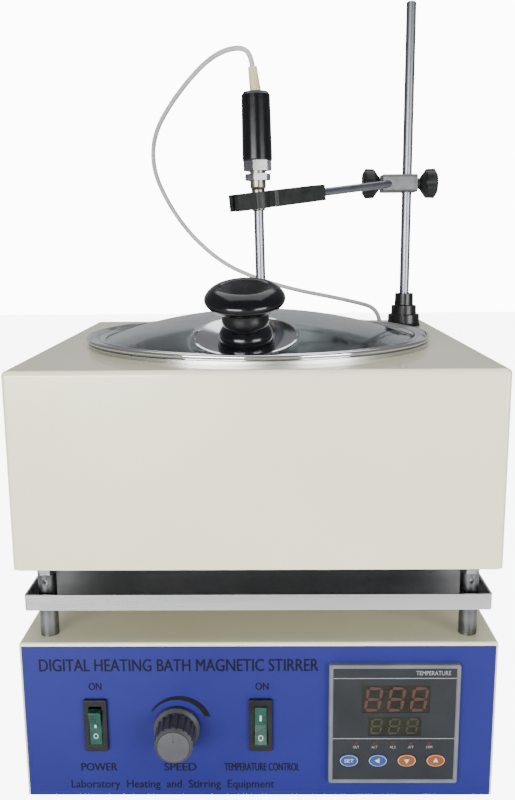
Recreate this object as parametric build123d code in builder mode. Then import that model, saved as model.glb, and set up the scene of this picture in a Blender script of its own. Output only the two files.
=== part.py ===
"""Heating-bath magnetic stirrer: a cream steel cabinet with a stainless bath, a control cabinet under it,
a glass lid and a temperature probe on a stand. Millimetres, +Z up, the front faces -Y.
The origin is on the surface that it stands on, in the middle of its floor plan."""

import math
import os

from build123d import *

os.makedirs("parts", exist_ok=True)

# ---------------------------------------------------------------- driving dimensions
sheet = 1.2  # painted steel sheet
gap = 0.3  # between curved faces that move past each other
running = 0.05  # radial clearance of a shaft in its hole

base_width = 263.8
bath_width = 264.6
depth = 260.0
front_y = -125.0
back_y = front_y + depth
middle_y = (front_y + back_y) / 2

foot_height = 6.8
base_bottom = foot_height + sheet
base_height = 93.1
base_top = base_bottom + base_height
bath_bottom = base_top + 42.6
bath_height = 108.7
bath_top = bath_bottom + bath_height

foot_pitch = (210.0, 206.0)
plate_inset = 2.5
plate_screw_pitch = (252.0, 120.0)
plate_screw_r = 1.5

post_x = 117.4
post_pitch_y = 234.0
post_r = 5.1
stud_r = 3.0
tray_top = base_top + 26.8
tray_lip = 9.0

bath_y = 1.0  # the bath, the lid and the motor share this axis
pot_r = 105.0
pot_floor = 158.0
lid_seat = bath_top + 2.5
lid_r = 111.2
glass_r = 102.5
glass_sphere = 298.0
glass_thick = 4.0
glass_top = bath_top + 20.2
stem_hole_r = 8.0

rod_x = 110.2
rod_y = 92.0
rod_r = 3.5
rod_top = 483.5

label_thick = 0.6
label_y = front_y - label_thick
knob_x = -45.6
knob_z = base_bottom + 43.0
meter_x = 75.0
meter_z = base_bottom + 45.8
meter_side = 72.0
switch_z = base_bottom + 44.6
power_x = -90.8
heat_x = 1.2
inlet_x = 70.0
fuse_x = 30.0
inlet_z = base_bottom + 30.0

front_plane = Plane.XZ.offset(-front_y)
label_plane = Plane.XZ.offset(-label_y)
back_plane = Plane.XZ.offset(-back_y)  # a negative distance from it goes out of the back
bath_side = Plane.XZ.offset(-bath_y)
bath_axis = Axis((0, bath_y, 0), (0, 0, 1))
nuts = []  # every plain steel nut, written as one node


def side_of(base):
    """The plane that holds a base plane's axis: its y runs along that axis, for turned shapes."""
    return Plane(origin=base.origin, x_dir=base.x_dir, z_dir=-base.y_dir)


def axis_of(base):
    """The axis through a base plane's origin."""
    return Axis(base.origin, base.z_dir)


def save(name, part):
    """Labels a finished piece and writes its STEP file."""
    part.label = name
    export_step(part, f"parts/{name}.step")


def nut(base, across_flats, height, bore_r):
    """A plain hexagon nut that stands on a base plane."""
    with BuildPart() as piece:
        with BuildSketch(base):
            RegularPolygon(across_flats / 2, 6, major_radius=False)
            Circle(bore_r, mode=Mode.SUBTRACT)
        extrude(amount=height)
    return piece.part


# ---------------------------------------------------------------- base cabinet
base_corner = 1.6
flange = 10.0
switch_hole = (11.6, 28.0)
meter_hole = 66.5
shaft_hole_r = 7.0

with BuildPart() as base_shell:
    with BuildSketch(Plane.XY.offset(base_bottom)):
        with Locations((0, middle_y)):
            RectangleRounded(base_width, depth, base_corner)
    extrude(amount=base_height)
    fillet(base_shell.faces().sort_by(Axis.Z)[-1].edges(), radius=base_corner - 0.1)
    offset(amount=-sheet, openings=base_shell.faces().sort_by(Axis.Z)[0])
    with BuildSketch(Plane.XY.offset(base_bottom)):
        with Locations((0, middle_y)):
            Rectangle(base_width - 2 * sheet, depth - 2 * sheet)
            Rectangle(base_width - 2 * flange, depth - 2 * flange, mode=Mode.SUBTRACT)
            with GridLocations(*plate_screw_pitch, 2, 2):
                Circle(plate_screw_r, mode=Mode.SUBTRACT)
    extrude(amount=sheet)
    with BuildSketch(front_plane):
        with Locations((power_x, switch_z), (heat_x, switch_z)):
            Rectangle(*switch_hole)
        with Locations((knob_x, knob_z)):
            Circle(3.6)
        with Locations((meter_x, meter_z)):
            Rectangle(meter_hole, meter_hole)
    extrude(amount=-flange / 2, mode=Mode.SUBTRACT)
    with BuildSketch(Plane.XY.offset(base_top)):
        with Locations((0, middle_y)):
            with GridLocations(2 * post_x, post_pitch_y, 2, 2):
                Circle(stud_r + 0.2)
        with Locations((0, bath_y)):
            Circle(shaft_hole_r)
    extrude(amount=-flange / 2, mode=Mode.SUBTRACT)
    # louvres in both side walls
    with BuildSketch(Plane.YZ):
        with Locations((middle_y + 40, base_bottom + 45)):
            with GridLocations(0, 9, 1, 6):
                SlotOverall(90, 3.5)
    extrude(amount=base_width, both=True, mode=Mode.SUBTRACT)
    # openings for the mains inlet and the fuse holder in the back wall
    with BuildSketch(back_plane):
        with Locations((inlet_x, inlet_z)):
            Rectangle(27.6, 20.1)
        with Locations((fuse_x, inlet_z)):
            Circle(6.2)
    extrude(amount=flange / 2, mode=Mode.SUBTRACT)
save("base_shell", base_shell.part)


with BuildPart() as base_plate:
    with BuildSketch(Plane.XY.offset(foot_height)):
        with Locations((0, middle_y)):
            Rectangle(base_width - 2 * plate_inset, depth - 2 * plate_inset)
            with GridLocations(*foot_pitch, 2, 2):
                Circle(2.1, mode=Mode.SUBTRACT)
            with GridLocations(*plate_screw_pitch, 2, 2):
                Circle(plate_screw_r, mode=Mode.SUBTRACT)
    extrude(amount=sheet)
save("base_plate", base_plate.part)

with BuildPart() as rubber_feet:
    with BuildSketch(Plane.XY):
        with Locations((0, middle_y)):
            with GridLocations(*foot_pitch, 2, 2):
                Circle(9.0)
    extrude(amount=foot_height, taper=-8)
    with BuildSketch(Plane.XY):
        with Locations((0, middle_y)):
            with GridLocations(*foot_pitch, 2, 2):
                Circle(4.6)
    extrude(amount=3.0, mode=Mode.SUBTRACT)
    with BuildSketch(Plane.XY):
        with Locations((0, middle_y)):
            with GridLocations(*foot_pitch, 2, 2):
                Circle(2.1)
    extrude(amount=foot_height, mode=Mode.SUBTRACT)
save("rubber_feet", rubber_feet.part)

# ---------------------------------------------------------------- front panel and its controls
label_width = base_width - 2 * base_corner
label_height = base_height - 2.2

with BuildPart() as front_label:
    with BuildSketch(front_plane):
        with Locations((0, base_bottom + 0.3 + label_height / 2)):
            Rectangle(label_width, label_height)
        with Locations((power_x, switch_z), (heat_x, switch_z)):
            Rectangle(*switch_hole, mode=Mode.SUBTRACT)
        with Locations((knob_x, knob_z)):
            Circle(3.6, mode=Mode.SUBTRACT)
        with Locations((meter_x, meter_z)):
            Rectangle(meter_hole, meter_hole, mode=Mode.SUBTRACT)
    extrude(amount=label_thick)
save("front_label", front_label.part)

bezel_size = (13.0, 31.4)
bezel_thick = 2.2
bezel_y = label_y - bezel_thick
rocker_window = (7.0, 23.4)
rocker_width = rocker_window[0] - 0.4
rocker_reach = 10.6  # from the pivot to an end of the rocker
rocker_front = 5.2  # how far its ends stand in front of the pivot
rocker_dip = 1.75  # how far its middle lies behind its ends
rocker_tilt = 9.0  # either way from level
pivot_y = bezel_y + rocker_front - rocker_dip
housing_depth = 19.0

with BuildPart() as switch_bodies:
    for x in (power_x, heat_x):
        with BuildSketch(label_plane):
            with Locations((x, switch_z)):
                RectangleRounded(*bezel_size, 1.2)
        extrude(amount=bezel_thick)
        with BuildSketch(label_plane):
            with Locations((x, switch_z)):
                Rectangle(switch_hole[0] - 0.4, switch_hole[1] - 0.4)
        extrude(amount=-housing_depth)
        with BuildSketch(label_plane.offset(bezel_thick)):
            with Locations((x, switch_z)):
                Rectangle(*rocker_window)
        extrude(amount=-(bezel_thick + 9.0), mode=Mode.SUBTRACT)
        with BuildSketch(label_plane.offset(-housing_depth)):
            with Locations((x, switch_z)):
                with GridLocations(0, 9.0, 1, 3):
                    Rectangle(4.8, 0.8)
        extrude(amount=-8.0)
    fillet(switch_bodies.faces().sort_by(Axis.Y)[0:2].edges(), radius=0.5)
save("switch_bodies", switch_bodies.part)


def rocker(x, tilt):
    """A rocker that is turned by tilt degrees about its pivot; positive presses its top end in."""
    lean = math.radians(tilt)
    frame = Plane(
        origin=(x - rocker_width / 2, pivot_y, switch_z),
        x_dir=(0, math.cos(lean), -math.sin(lean)),
        z_dir=(1, 0, 0),
    )
    with BuildPart() as piece:
        with BuildSketch(frame):
            with BuildLine():
                Polyline(
                    (-rocker_front, -rocker_reach),
                    (rocker_dip - rocker_front, 0),
                    (-rocker_front, rocker_reach),
                    (-1.0, rocker_reach),
                    (3.0, 4.0),
                    (3.0, -4.0),
                    (-1.0, -rocker_reach),
                    close=True,
                )
            make_face()
        extrude(amount=rocker_width)
        fillet(piece.faces().sort_by(Axis.Y)[0:2].edges().filter_by(Axis.X), radius=0.3)
    return piece.part


save("power_rocker", rocker(power_x, -rocker_tilt))
save("heat_rocker", rocker(heat_x, rocker_tilt))

knob_back = Plane(origin=(knob_x, label_y - 0.8, knob_z), x_dir=(1, 0, 0), z_dir=(0, -1, 0))
knob_skirt_r = 12.8
knob_grip_r = 10.6
knob_length = 18.3
knob_flutes = 18

with BuildPart() as speed_knob:
    with BuildSketch(side_of(knob_back)):
        with BuildLine():
            Polyline(
                (0, 3.4),
                (8.2, 3.4),
                (8.2, 0),
                (knob_skirt_r, 0),
                (knob_skirt_r, 2.2),
                (knob_grip_r + 0.5, 3.6),
                (knob_grip_r, knob_length - 1.2),
                (knob_grip_r - 1.2, knob_length),
                (0, knob_length),
                close=True,
            )
        make_face()
    revolve(axis=axis_of(knob_back))
    with BuildSketch(knob_back.offset(3.9)):
        with PolarLocations(knob_grip_r + 0.9, knob_flutes):
            Circle(1.3)
    extrude(amount=knob_length, mode=Mode.SUBTRACT)
    with BuildSketch(knob_back):
        Circle(3.0 + 0.02)
    extrude(amount=12.0, mode=Mode.SUBTRACT)
    with BuildSketch(knob_back.offset(knob_length - 0.8)):
        Circle(8.9)
    extrude(amount=1.0, mode=Mode.SUBTRACT)
save("speed_knob", speed_knob.part)

with BuildPart() as speed_knob_cap:
    with BuildSketch(knob_back.offset(knob_length - 0.8)):
        Circle(8.8)
    extrude(amount=1.6)
    fillet(speed_knob_cap.faces().sort_by(Axis.Y)[0].edges(), radius=0.6)
    with BuildSketch(knob_back.offset(knob_length + 0.5)):
        with Locations((0, 5.4)):
            SlotOverall(5.0, 1.0, rotation=90)
    extrude(amount=1.0, mode=Mode.SUBTRACT)
save("speed_knob_cap", speed_knob_cap.part)

with BuildPart() as speed_shaft:
    with BuildSketch(knob_back.offset(11.8)):
        Circle(3.0)
    extrude(amount=-28.0)
save("speed_shaft", speed_shaft.part)

with BuildPart() as speed_pot:
    with BuildSketch(front_plane.offset(-sheet)):
        with Locations((knob_x, knob_z)):
            Circle(8.5)
    extrude(amount=-11.0)
    with BuildSketch(front_plane.offset(-sheet)):
        with Locations((knob_x, knob_z)):
            Circle(3.5)
    extrude(amount=sheet + label_thick + 2.8)
    with BuildSketch(front_plane.offset(-sheet - 5)):
        with Locations((knob_x, knob_z - 10)):
            Rectangle(14, 8)
    extrude(amount=-1.2)
    with BuildSketch(front_plane.offset(4)):
        with Locations((knob_x, knob_z)):
            Circle(3.0 + running)
    extrude(amount=-20.5, mode=Mode.SUBTRACT)
save("speed_pot", speed_pot.part)

pot_nut_plane = Plane(origin=(knob_x, label_y, knob_z), x_dir=(1, 0, 0), z_dir=(0, -1, 0))
nuts.append(nut(pot_nut_plane, 10.0, 2.2, 3.55))

# ---------------------------------------------------------------- panel meter
meter_front = label_y - 3.4
face_y = meter_front + 0.5
face_thick = 1.0
face_side = meter_side - 4.6
window_big = (37.4, 16.6)
window_small = (29.0, 11.4)
window_big_at = (meter_x + 0.8, meter_z + 15.5)
window_small_at = (meter_x + 0.4, meter_z - 0.9)
lamp_r = 1.1
lamp_pitch = 10.15
lamp_row = (meter_x - 0.4, meter_z - 11.2)
button_pitch = 16.1
button_row_z = meter_z - 21.7
button_size = (5.1, 3.7)
button_x = [meter_x - 0.5 + button_pitch * (n - 1.5) for n in range(4)]
meter_plane = Plane.XZ.offset(-face_y)

with BuildPart() as meter_bezel:
    with BuildSketch(label_plane):
        with Locations((meter_x, meter_z)):
            RectangleRounded(meter_side, meter_side, 1.5)
            Rectangle(face_side, face_side, mode=Mode.SUBTRACT)
    extrude(amount=3.4)
    chamfer(meter_bezel.faces().sort_by(Axis.Y)[0].edges(), length=0.5)
save("meter_bezel", meter_bezel.part)

with BuildPart() as meter_face:
    with BuildSketch(meter_plane):
        with Locations((meter_x, meter_z)):
            Rectangle(face_side - 0.1, face_side - 0.1)
        with Locations(window_big_at):
            Rectangle(*window_big, mode=Mode.SUBTRACT)
        with Locations(window_small_at):
            Rectangle(*window_small, mode=Mode.SUBTRACT)
        with Locations(lamp_row):
            with GridLocations(lamp_pitch, 0, 5, 1):
                Circle(lamp_r, mode=Mode.SUBTRACT)
        for x in button_x:
            with Locations((x, button_row_z)):
                Ellipse(button_size[0] + 0.2, button_size[1] + 0.2, mode=Mode.SUBTRACT)
    extrude(amount=-face_thick)
save("meter_face", meter_face.part)

with BuildPart() as meter_windows:
    with BuildSketch(meter_plane.offset(-0.2)):
        with Locations(window_big_at):
            Rectangle(*window_big)
        with Locations(window_small_at):
            Rectangle(*window_small)
    extrude(amount=0.2 - face_thick)
save("meter_windows", meter_windows.part)

with BuildPart() as status_lamps:
    with BuildSketch(meter_plane.offset(0.15)):
        with Locations(lamp_row):
            with GridLocations(lamp_pitch, 0, 5, 1):
                Circle(lamp_r)
    extrude(amount=-5.0)
save("status_lamps", status_lamps.part)

board_y = label_y + 2.6
with BuildPart() as meter_board:
    with BuildSketch(Plane.XZ.offset(-board_y)):
        with Locations((meter_x, meter_z)):
            Rectangle(61.0, 61.0)
    extrude(amount=-1.6)
    with BuildSketch(Plane.XZ.offset(-board_y)):
        with Locations(window_big_at):
            Rectangle(window_big[0] - 2, window_big[1] - 1)
        with Locations(window_small_at):
            Rectangle(window_small[0] - 2, window_small[1] - 1)
    extrude(amount=board_y - face_y - face_thick - 0.4)
save("meter_board", meter_board.part)

button_names = ("set_button", "shift_button", "down_button", "up_button")
button_proud = 0.7
for x, name in zip(button_x, button_names):
    with BuildPart() as button:
        with BuildSketch(meter_plane.offset(button_proud)):
            with Locations((x, button_row_z)):
                Ellipse(*button_size)
        extrude(amount=-(button_proud + face_thick + 0.4))
        with BuildSketch(meter_plane.offset(-face_thick - 0.3)):
            with Locations((x, button_row_z)):
                Ellipse(button_size[0] + 0.8, button_size[1] + 0.8)
        extrude(amount=-0.8)
        fillet(button.faces().sort_by(Axis.Y)[0].edges(), radius=0.35)
    save(name, button.part)

case_depth = 62.0
with BuildPart() as meter_case:
    with BuildSketch(label_plane):
        with Locations((meter_x, meter_z)):
            Rectangle(meter_hole - 0.5, meter_hole - 0.5)
    extrude(amount=-case_depth)
    offset(amount=-1.8, openings=meter_case.faces().sort_by(Axis.Y)[0])
    with BuildSketch(label_plane.offset(-case_depth)):
        with Locations((meter_x, meter_z - 12)):
            with GridLocations(8, 0, 6, 1):
                Rectangle(5, 7)
    extrude(amount=-6.0)
    for side in (-1, 1):
        with BuildSketch(front_plane.offset(-sheet)):
            with Locations((meter_x + side * (meter_hole / 2 + 2.0), meter_z)):
                Rectangle(4.5, 14.0)
        extrude(amount=-34.0)
save("meter_case", meter_case.part)

# ---------------------------------------------------------------- back of the base
pin_spots = [(inlet_x + side * 7, inlet_z + rise) for side, rise in ((-1, -2), (0, 2.5), (1, -2))]
pin_size = (2.0, 4.0)

with BuildPart() as power_inlet:
    with BuildSketch(back_plane):
        with Locations((inlet_x, inlet_z)):
            RectangleRounded(50.0, 23.0, 4.0)
            with GridLocations(40.0, 0, 2, 1):
                Circle(1.7, mode=Mode.SUBTRACT)
    extrude(amount=-2.4)
    with BuildSketch(back_plane):
        with Locations((inlet_x, inlet_z)):
            Rectangle(27.4, 19.9)
    extrude(amount=18.0)
    with BuildSketch(back_plane.offset(-2.4)):
        with Locations((inlet_x, inlet_z)):
            Rectangle(24.6, 16.6)
    extrude(amount=16.0, mode=Mode.SUBTRACT)
    with BuildSketch(back_plane):
        with Locations(*pin_spots):
            Rectangle(*pin_size)
    extrude(amount=20.0, mode=Mode.SUBTRACT)
save("power_inlet", power_inlet.part)

with BuildPart() as inlet_pins:
    with BuildSketch(back_plane.offset(-0.5)):
        with Locations(*pin_spots):
            Rectangle(*pin_size)
    extrude(amount=26.0)
save("inlet_pins", inlet_pins.part)

fuse_reach = 10.5
with BuildPart() as fuse_holder:
    with BuildSketch(back_plane):
        with Locations((fuse_x, inlet_z)):
            Circle(8.0)
    extrude(amount=-2.0)
    with BuildSketch(back_plane):
        with Locations((fuse_x, inlet_z)):
            Circle(6.0)
    extrude(amount=30.0)
    with BuildSketch(back_plane.offset(-2.0)):
        with Locations((fuse_x, inlet_z)):
            Circle(4.5)
    extrude(amount=28.0, mode=Mode.SUBTRACT)
    with BuildSketch(back_plane.offset(-2.2)):
        with Locations((fuse_x, inlet_z)):
            Circle(6.4)
    extrude(amount=-(fuse_reach - 2.2), taper=3)
    with BuildSketch(back_plane.offset(-2.2)):
        with Locations((fuse_x, inlet_z)):
            Circle(4.3)
    extrude(amount=24.0)
    with BuildSketch(back_plane.offset(-fuse_reach)):
        with Locations((fuse_x, inlet_z)):
            Rectangle(9.0, 1.4)
    extrude(amount=1.5, mode=Mode.SUBTRACT)
save("fuse_holder", fuse_holder.part)

# ---------------------------------------------------------------- electronics
board_floor = base_bottom + 8.0
with BuildPart() as control_board:
    with BuildSketch(Plane.XY.offset(board_floor)):
        with Locations((60, 70)):
            Rectangle(110, 80)
    extrude(amount=1.6)
    with BuildSketch(Plane.XY.offset(base_bottom)):
        with Locations((60, 70)):
            with GridLocations(100, 70, 2, 2):
                Circle(3)
    extrude(amount=8.0)
    with BuildSketch(Plane.XY.offset(board_floor + 1.6)):
        with Locations((30, 90), (30, 60)):
            Rectangle(18, 22)
        with Locations((60, 50), (75, 50), (90, 50)):
            Circle(6)
    extrude(amount=18.0)
    with BuildSketch(Plane.XY.offset(board_floor + 1.6)):
        with Locations((80, 95)):
            Rectangle(50, 12)
    extrude(amount=11.0)
save("control_board", control_board.part)

with BuildPart() as transformer:
    with BuildSketch(Plane.XY.offset(base_bottom)):
        with Locations((-75, 80)):
            Rectangle(66, 30)
    extrude(amount=54.0)
    with BuildSketch(Plane.XY.offset(base_bottom + 9)):
        with Locations((-75, 80)):
            Rectangle(44, 56)
    extrude(amount=36.0)
save("transformer", transformer.part)

# ---------------------------------------------------------------- motor and magnets
motor_r = 34.0
motor_height = 46.0
bracket_top = base_top - sheet - 6.0
bracket_bottom = bracket_top - 2.0
motor_bottom = bracket_bottom - motor_height
shaft_r = 3.0
shaft_bottom = motor_bottom + 8.0
carrier_bottom = bath_bottom + 1.3
carrier_thick = 4.4
bracket_pitch = 76.0

with BuildPart() as motor:
    with BuildSketch(Plane.XY.offset(motor_bottom)):
        with Locations((0, bath_y)):
            Circle(motor_r)
    extrude(amount=motor_height)
    fillet(motor.edges().filter_by(GeomType.CIRCLE), radius=3.0)
    with BuildSketch(Plane.XY.offset(shaft_bottom)):
        with Locations((0, bath_y)):
            Circle(shaft_r + running)
    extrude(amount=motor_height, mode=Mode.SUBTRACT)
save("motor", motor.part)

with BuildPart() as motor_bracket:
    with BuildSketch(Plane.XY.offset(bracket_bottom)):
        with Locations((0, bath_y)):
            RectangleRounded(92.0, 92.0, 6.0)
            Circle(shaft_hole_r, mode=Mode.SUBTRACT)
            with GridLocations(bracket_pitch, bracket_pitch, 2, 2):
                Circle(2.2, mode=Mode.SUBTRACT)
    extrude(amount=2.0)
    with BuildSketch(Plane.XY.offset(bracket_top)):
        with Locations((0, bath_y)):
            with GridLocations(bracket_pitch, bracket_pitch, 2, 2):
                Circle(4.0)
                Circle(2.2, mode=Mode.SUBTRACT)
    extrude(amount=6.0)
save("motor_bracket", motor_bracket.part)

with BuildPart() as drive_shaft:
    with BuildSketch(Plane.XY.offset(shaft_bottom + 0.3)):
        with Locations((0, bath_y)):
            Circle(shaft_r)
    extrude(amount=carrier_bottom + carrier_thick - shaft_bottom - 0.3)
save("drive_shaft", drive_shaft.part)

with BuildPart() as magnet_carrier:
    with BuildSketch(Plane.XY.offset(carrier_bottom)):
        with Locations((0, bath_y)):
            SlotOverall(64.0, 22.0)
            Circle(shaft_r, mode=Mode.SUBTRACT)
    extrude(amount=carrier_thick)
save("magnet_carrier", magnet_carrier.part)

with BuildPart() as magnets:
    with BuildSketch(Plane.XY.offset(carrier_bottom + carrier_thick)):
        with Locations((0, bath_y)):
            with GridLocations(42.0, 0, 2, 1):
                Rectangle(15.0, 15.0)
    extrude(amount=5.6)
    fillet(magnets.edges().filter_by(Axis.Z), radius=1.0)
save("magnets", magnets.part)

# ---------------------------------------------------------------- posts and drip tray
tray_width = 256.0
tray_depth = depth - 6.4
tray_floor = tray_top - tray_lip
post_top = bath_bottom - sheet - 5.2

with BuildPart() as support_posts:
    with BuildSketch(Plane.XY.offset(base_top)):
        with Locations((0, middle_y)):
            with GridLocations(2 * post_x, post_pitch_y, 2, 2):
                Circle(post_r)
                Circle(stud_r + 0.1, mode=Mode.SUBTRACT)
    extrude(amount=post_top - base_top)
    chamfer(support_posts.faces().sort_by(Axis.Z)[-1].edges(), length=0.5)
    with BuildSketch(Plane.XZ):
        with GridLocations(2 * post_x, 0, 2, 1):
            with Locations((0, post_top - 4.0)):
                Circle(1.5)
    extrude(amount=depth, both=True, mode=Mode.SUBTRACT)
save("support_posts", support_posts.part)

with BuildPart() as post_studs:
    with BuildSketch(Plane.XY.offset(base_top - 9.0)):
        with Locations((0, middle_y)):
            with GridLocations(2 * post_x, post_pitch_y, 2, 2):
                Circle(stud_r)
    extrude(amount=bath_bottom - base_top + 18.0)
    chamfer(post_studs.faces().filter_by(Axis.Z).edges(), length=0.6)
save("post_studs", post_studs.part)

for x in (-post_x, post_x):
    for y in (middle_y - post_pitch_y / 2, middle_y + post_pitch_y / 2):
        for z, height in ((base_top - sheet - 5.0, 5.0), (post_top, 5.1), (bath_bottom, 5.0)):
            nuts.append(nut(Plane((x, y, z)), 9.4, height, stud_r))

with BuildPart() as drip_tray:
    with BuildSketch(Plane.XY.offset(tray_floor)):
        with Locations((0, middle_y)):
            RectangleRounded(tray_width, tray_depth, 1.6)
    extrude(amount=tray_lip)
    offset(amount=-sheet, openings=drip_tray.faces().sort_by(Axis.Z)[-1])
    with BuildSketch(Plane.XY.offset(tray_floor)):
        with Locations((0, middle_y)):
            with GridLocations(2 * post_x, post_pitch_y, 2, 2):
                Circle(post_r + 0.1)
        with Locations((0, bath_y)):
            Circle(shaft_hole_r)
    extrude(amount=tray_lip, mode=Mode.SUBTRACT)
save("drip_tray", drip_tray.part)

# ---------------------------------------------------------------- bath cabinet
bath_corner = 3.0
grommet_x = 92.8
grommet_y = 93.3
grommet_r = 4.6
heater_r = 80.0
heater_tube_r = 4.0
heater_z = pot_floor + 14.0
heater_ends = [80.0, 100.0]

with BuildPart() as bath_shell:
    with BuildSketch(Plane.XY.offset(bath_bottom)):
        with Locations((0, middle_y)):
            RectangleRounded(bath_width, depth, bath_corner)
    extrude(amount=bath_height)
    fillet(bath_shell.faces().sort_by(Axis.Z)[-1].edges(), radius=bath_corner - 0.2)
    offset(amount=-sheet, openings=bath_shell.faces().sort_by(Axis.Z)[0])
    with BuildSketch(Plane.XY.offset(bath_bottom)):
        with Locations((0, middle_y)):
            Rectangle(bath_width - 2 * sheet, depth - 2 * sheet)
            Rectangle(bath_width - 2 * flange, depth - 2 * flange, mode=Mode.SUBTRACT)
            with GridLocations(2 * post_x, post_pitch_y, 2, 2):
                Circle(6.5, mode=Mode.SUBTRACT)
            with GridLocations(*plate_screw_pitch, 2, 2):
                Circle(plate_screw_r, mode=Mode.SUBTRACT)
    extrude(amount=sheet)
    with BuildSketch(Plane.XY.offset(bath_top)):
        with Locations((0, bath_y)):
            Circle(pot_r + 1.4)
        with Locations((rod_x, rod_y)):
            Circle(rod_r + 0.1)
        with Locations((grommet_x, grommet_y)):
            Circle(grommet_r - 1.0)
    extrude(amount=-flange / 2, mode=Mode.SUBTRACT)
save("bath_shell", bath_shell.part)

with BuildPart() as bath_plate:
    with BuildSketch(Plane.XY.offset(bath_bottom - sheet)):
        with Locations((0, middle_y)):
            Rectangle(bath_width - 2 * plate_inset, depth - 2 * plate_inset)
            with GridLocations(2 * post_x, post_pitch_y, 2, 2):
                Circle(stud_r + 0.2, mode=Mode.SUBTRACT)
            with GridLocations(*plate_screw_pitch, 2, 2):
                Circle(plate_screw_r, mode=Mode.SUBTRACT)
        with Locations((0, bath_y)):
            Circle(shaft_hole_r + 2, mode=Mode.SUBTRACT)
        with Locations((grommet_x, grommet_y)):
            Circle(grommet_r - 1.0, mode=Mode.SUBTRACT)
    extrude(amount=sheet)
save("bath_plate", bath_plate.part)

foot_head = 0.8  # how far each foot's screw head is sunk above the table
with BuildPart() as case_screws:
    for z in (foot_height, bath_bottom - sheet):
        with BuildSketch(Plane.XY.offset(z - 1.8)):
            with Locations((0, middle_y)):
                with GridLocations(*plate_screw_pitch, 2, 2):
                    Circle(2.8)
        extrude(amount=1.8)
        with BuildSketch(Plane.XY.offset(z - 1.8)):
            with Locations((0, middle_y)):
                with GridLocations(*plate_screw_pitch, 2, 2):
                    Circle(plate_screw_r)
        extrude(amount=10.0)
    with BuildSketch(Plane.XY.offset(foot_head)):
        with Locations((0, middle_y)):
            with GridLocations(*foot_pitch, 2, 2):
                Circle(4.0)
    extrude(amount=2.2)
    with BuildSketch(Plane.XY.offset(foot_head)):
        with Locations((0, middle_y)):
            with GridLocations(*foot_pitch, 2, 2):
                Circle(2.0)
    extrude(amount=13.0)
    with BuildSketch(Plane.XY.offset(foot_head)):
        with Locations((0, middle_y)):
            with GridLocations(*foot_pitch, 2, 2):
                Rectangle(5.0, 1.0)
    extrude(amount=0.9, mode=Mode.SUBTRACT)
save("case_screws", case_screws.part)

pot_wall = 0.8
pot_corner = 12.0
bead = 1.1
with BuildPart() as bath_pot:
    with BuildSketch(bath_side):
        with BuildLine():
            Line((0, pot_floor - pot_wall), (pot_r - pot_corner, pot_floor - pot_wall))
            RadiusArc(
                (pot_r - pot_corner, pot_floor - pot_wall),
                (pot_r + pot_wall, pot_floor + pot_corner),
                -(pot_corner + pot_wall),
            )
            Polyline(
                (pot_r + pot_wall, pot_floor + pot_corner),
                (pot_r + pot_wall, bath_top),
                (lid_r - 1.0, bath_top),
                (lid_r - 1.0, lid_seat - 0.4),
                (lid_r - 1.0 - 2 * bead, lid_seat - 0.4),
                (lid_r - 1.0 - 2 * bead, bath_top + pot_wall),
                (pot_r, bath_top + pot_wall),
                (pot_r, pot_floor + pot_corner),
            )
            RadiusArc((pot_r, pot_floor + pot_corner), (pot_r - pot_corner, pot_floor), pot_corner)
            Polyline((pot_r - pot_corner, pot_floor), (0, pot_floor), (0, pot_floor - pot_wall))
        make_face()
    revolve(axis=bath_axis)
    with BuildSketch(Plane.XY.offset(pot_floor)):
        with Locations((0, bath_y)):
            for angle in heater_ends:
                with PolarLocations(heater_r, 1, start_angle=angle):
                    Circle(heater_tube_r)
    extrude(amount=-pot_wall, mode=Mode.SUBTRACT)
save("bath_pot", bath_pot.part)

heater_turn = math.radians(heater_ends[1])
heater_start = Plane(
    origin=(0, bath_y, 0),
    x_dir=(math.cos(heater_turn), math.sin(heater_turn), 0),
    z_dir=(math.sin(heater_turn), -math.cos(heater_turn), 0),
)
with BuildPart() as ring_heater:
    with BuildSketch(heater_start):
        with Locations((heater_r, heater_z)):
            Circle(heater_tube_r)
    revolve(axis=bath_axis, revolution_arc=360 - heater_ends[1] + heater_ends[0])
    for angle in heater_ends:
        spot = (
            heater_r * math.cos(math.radians(angle)),
            bath_y + heater_r * math.sin(math.radians(angle)),
        )
        with Locations((*spot, heater_z)):
            Sphere(heater_tube_r)
            Cylinder(heater_tube_r, heater_z - bath_bottom - 1.0, align=(Align.CENTER, Align.CENTER, Align.MAX))
        heater_nut_plane = Plane((*spot, pot_floor - pot_wall - 5.0))
        nuts.append(nut(heater_nut_plane, 12.5, 5.0, heater_tube_r))
save("ring_heater", ring_heater.part)

with BuildPart() as insulation:
    with BuildSketch(Plane.XY.offset(bath_bottom + 2.0)):
        with Locations((0, bath_y)):
            Circle(123.0)
            Circle(pot_r + pot_wall + 0.6, mode=Mode.SUBTRACT)
    extrude(amount=96.0)
save("insulation", insulation.part)

# ---------------------------------------------------------------- glass lid
def dome_z(r, sphere):
    """Height of a dome surface that is concentric with the glass, at a distance from the lid's axis."""
    return glass_top - glass_sphere + math.sqrt(sphere**2 - r**2)


inner_sphere = glass_sphere - glass_thick
knob_off = (-5.9, -77.6)  # from the lid's axis: the knob stands on the front slope, clear of the probe
knob_reach = math.hypot(*knob_off)
knob_seat = (knob_off[0], bath_y + knob_off[1], dome_z(knob_reach, glass_sphere))
knob_normal = (
    knob_off[0] / glass_sphere,
    knob_off[1] / glass_sphere,
    math.sqrt(1 - (knob_reach / glass_sphere) ** 2),
)
lid_knob_plane = Plane(origin=knob_seat, z_dir=knob_normal)
knob_screw_r = 2.5

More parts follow.
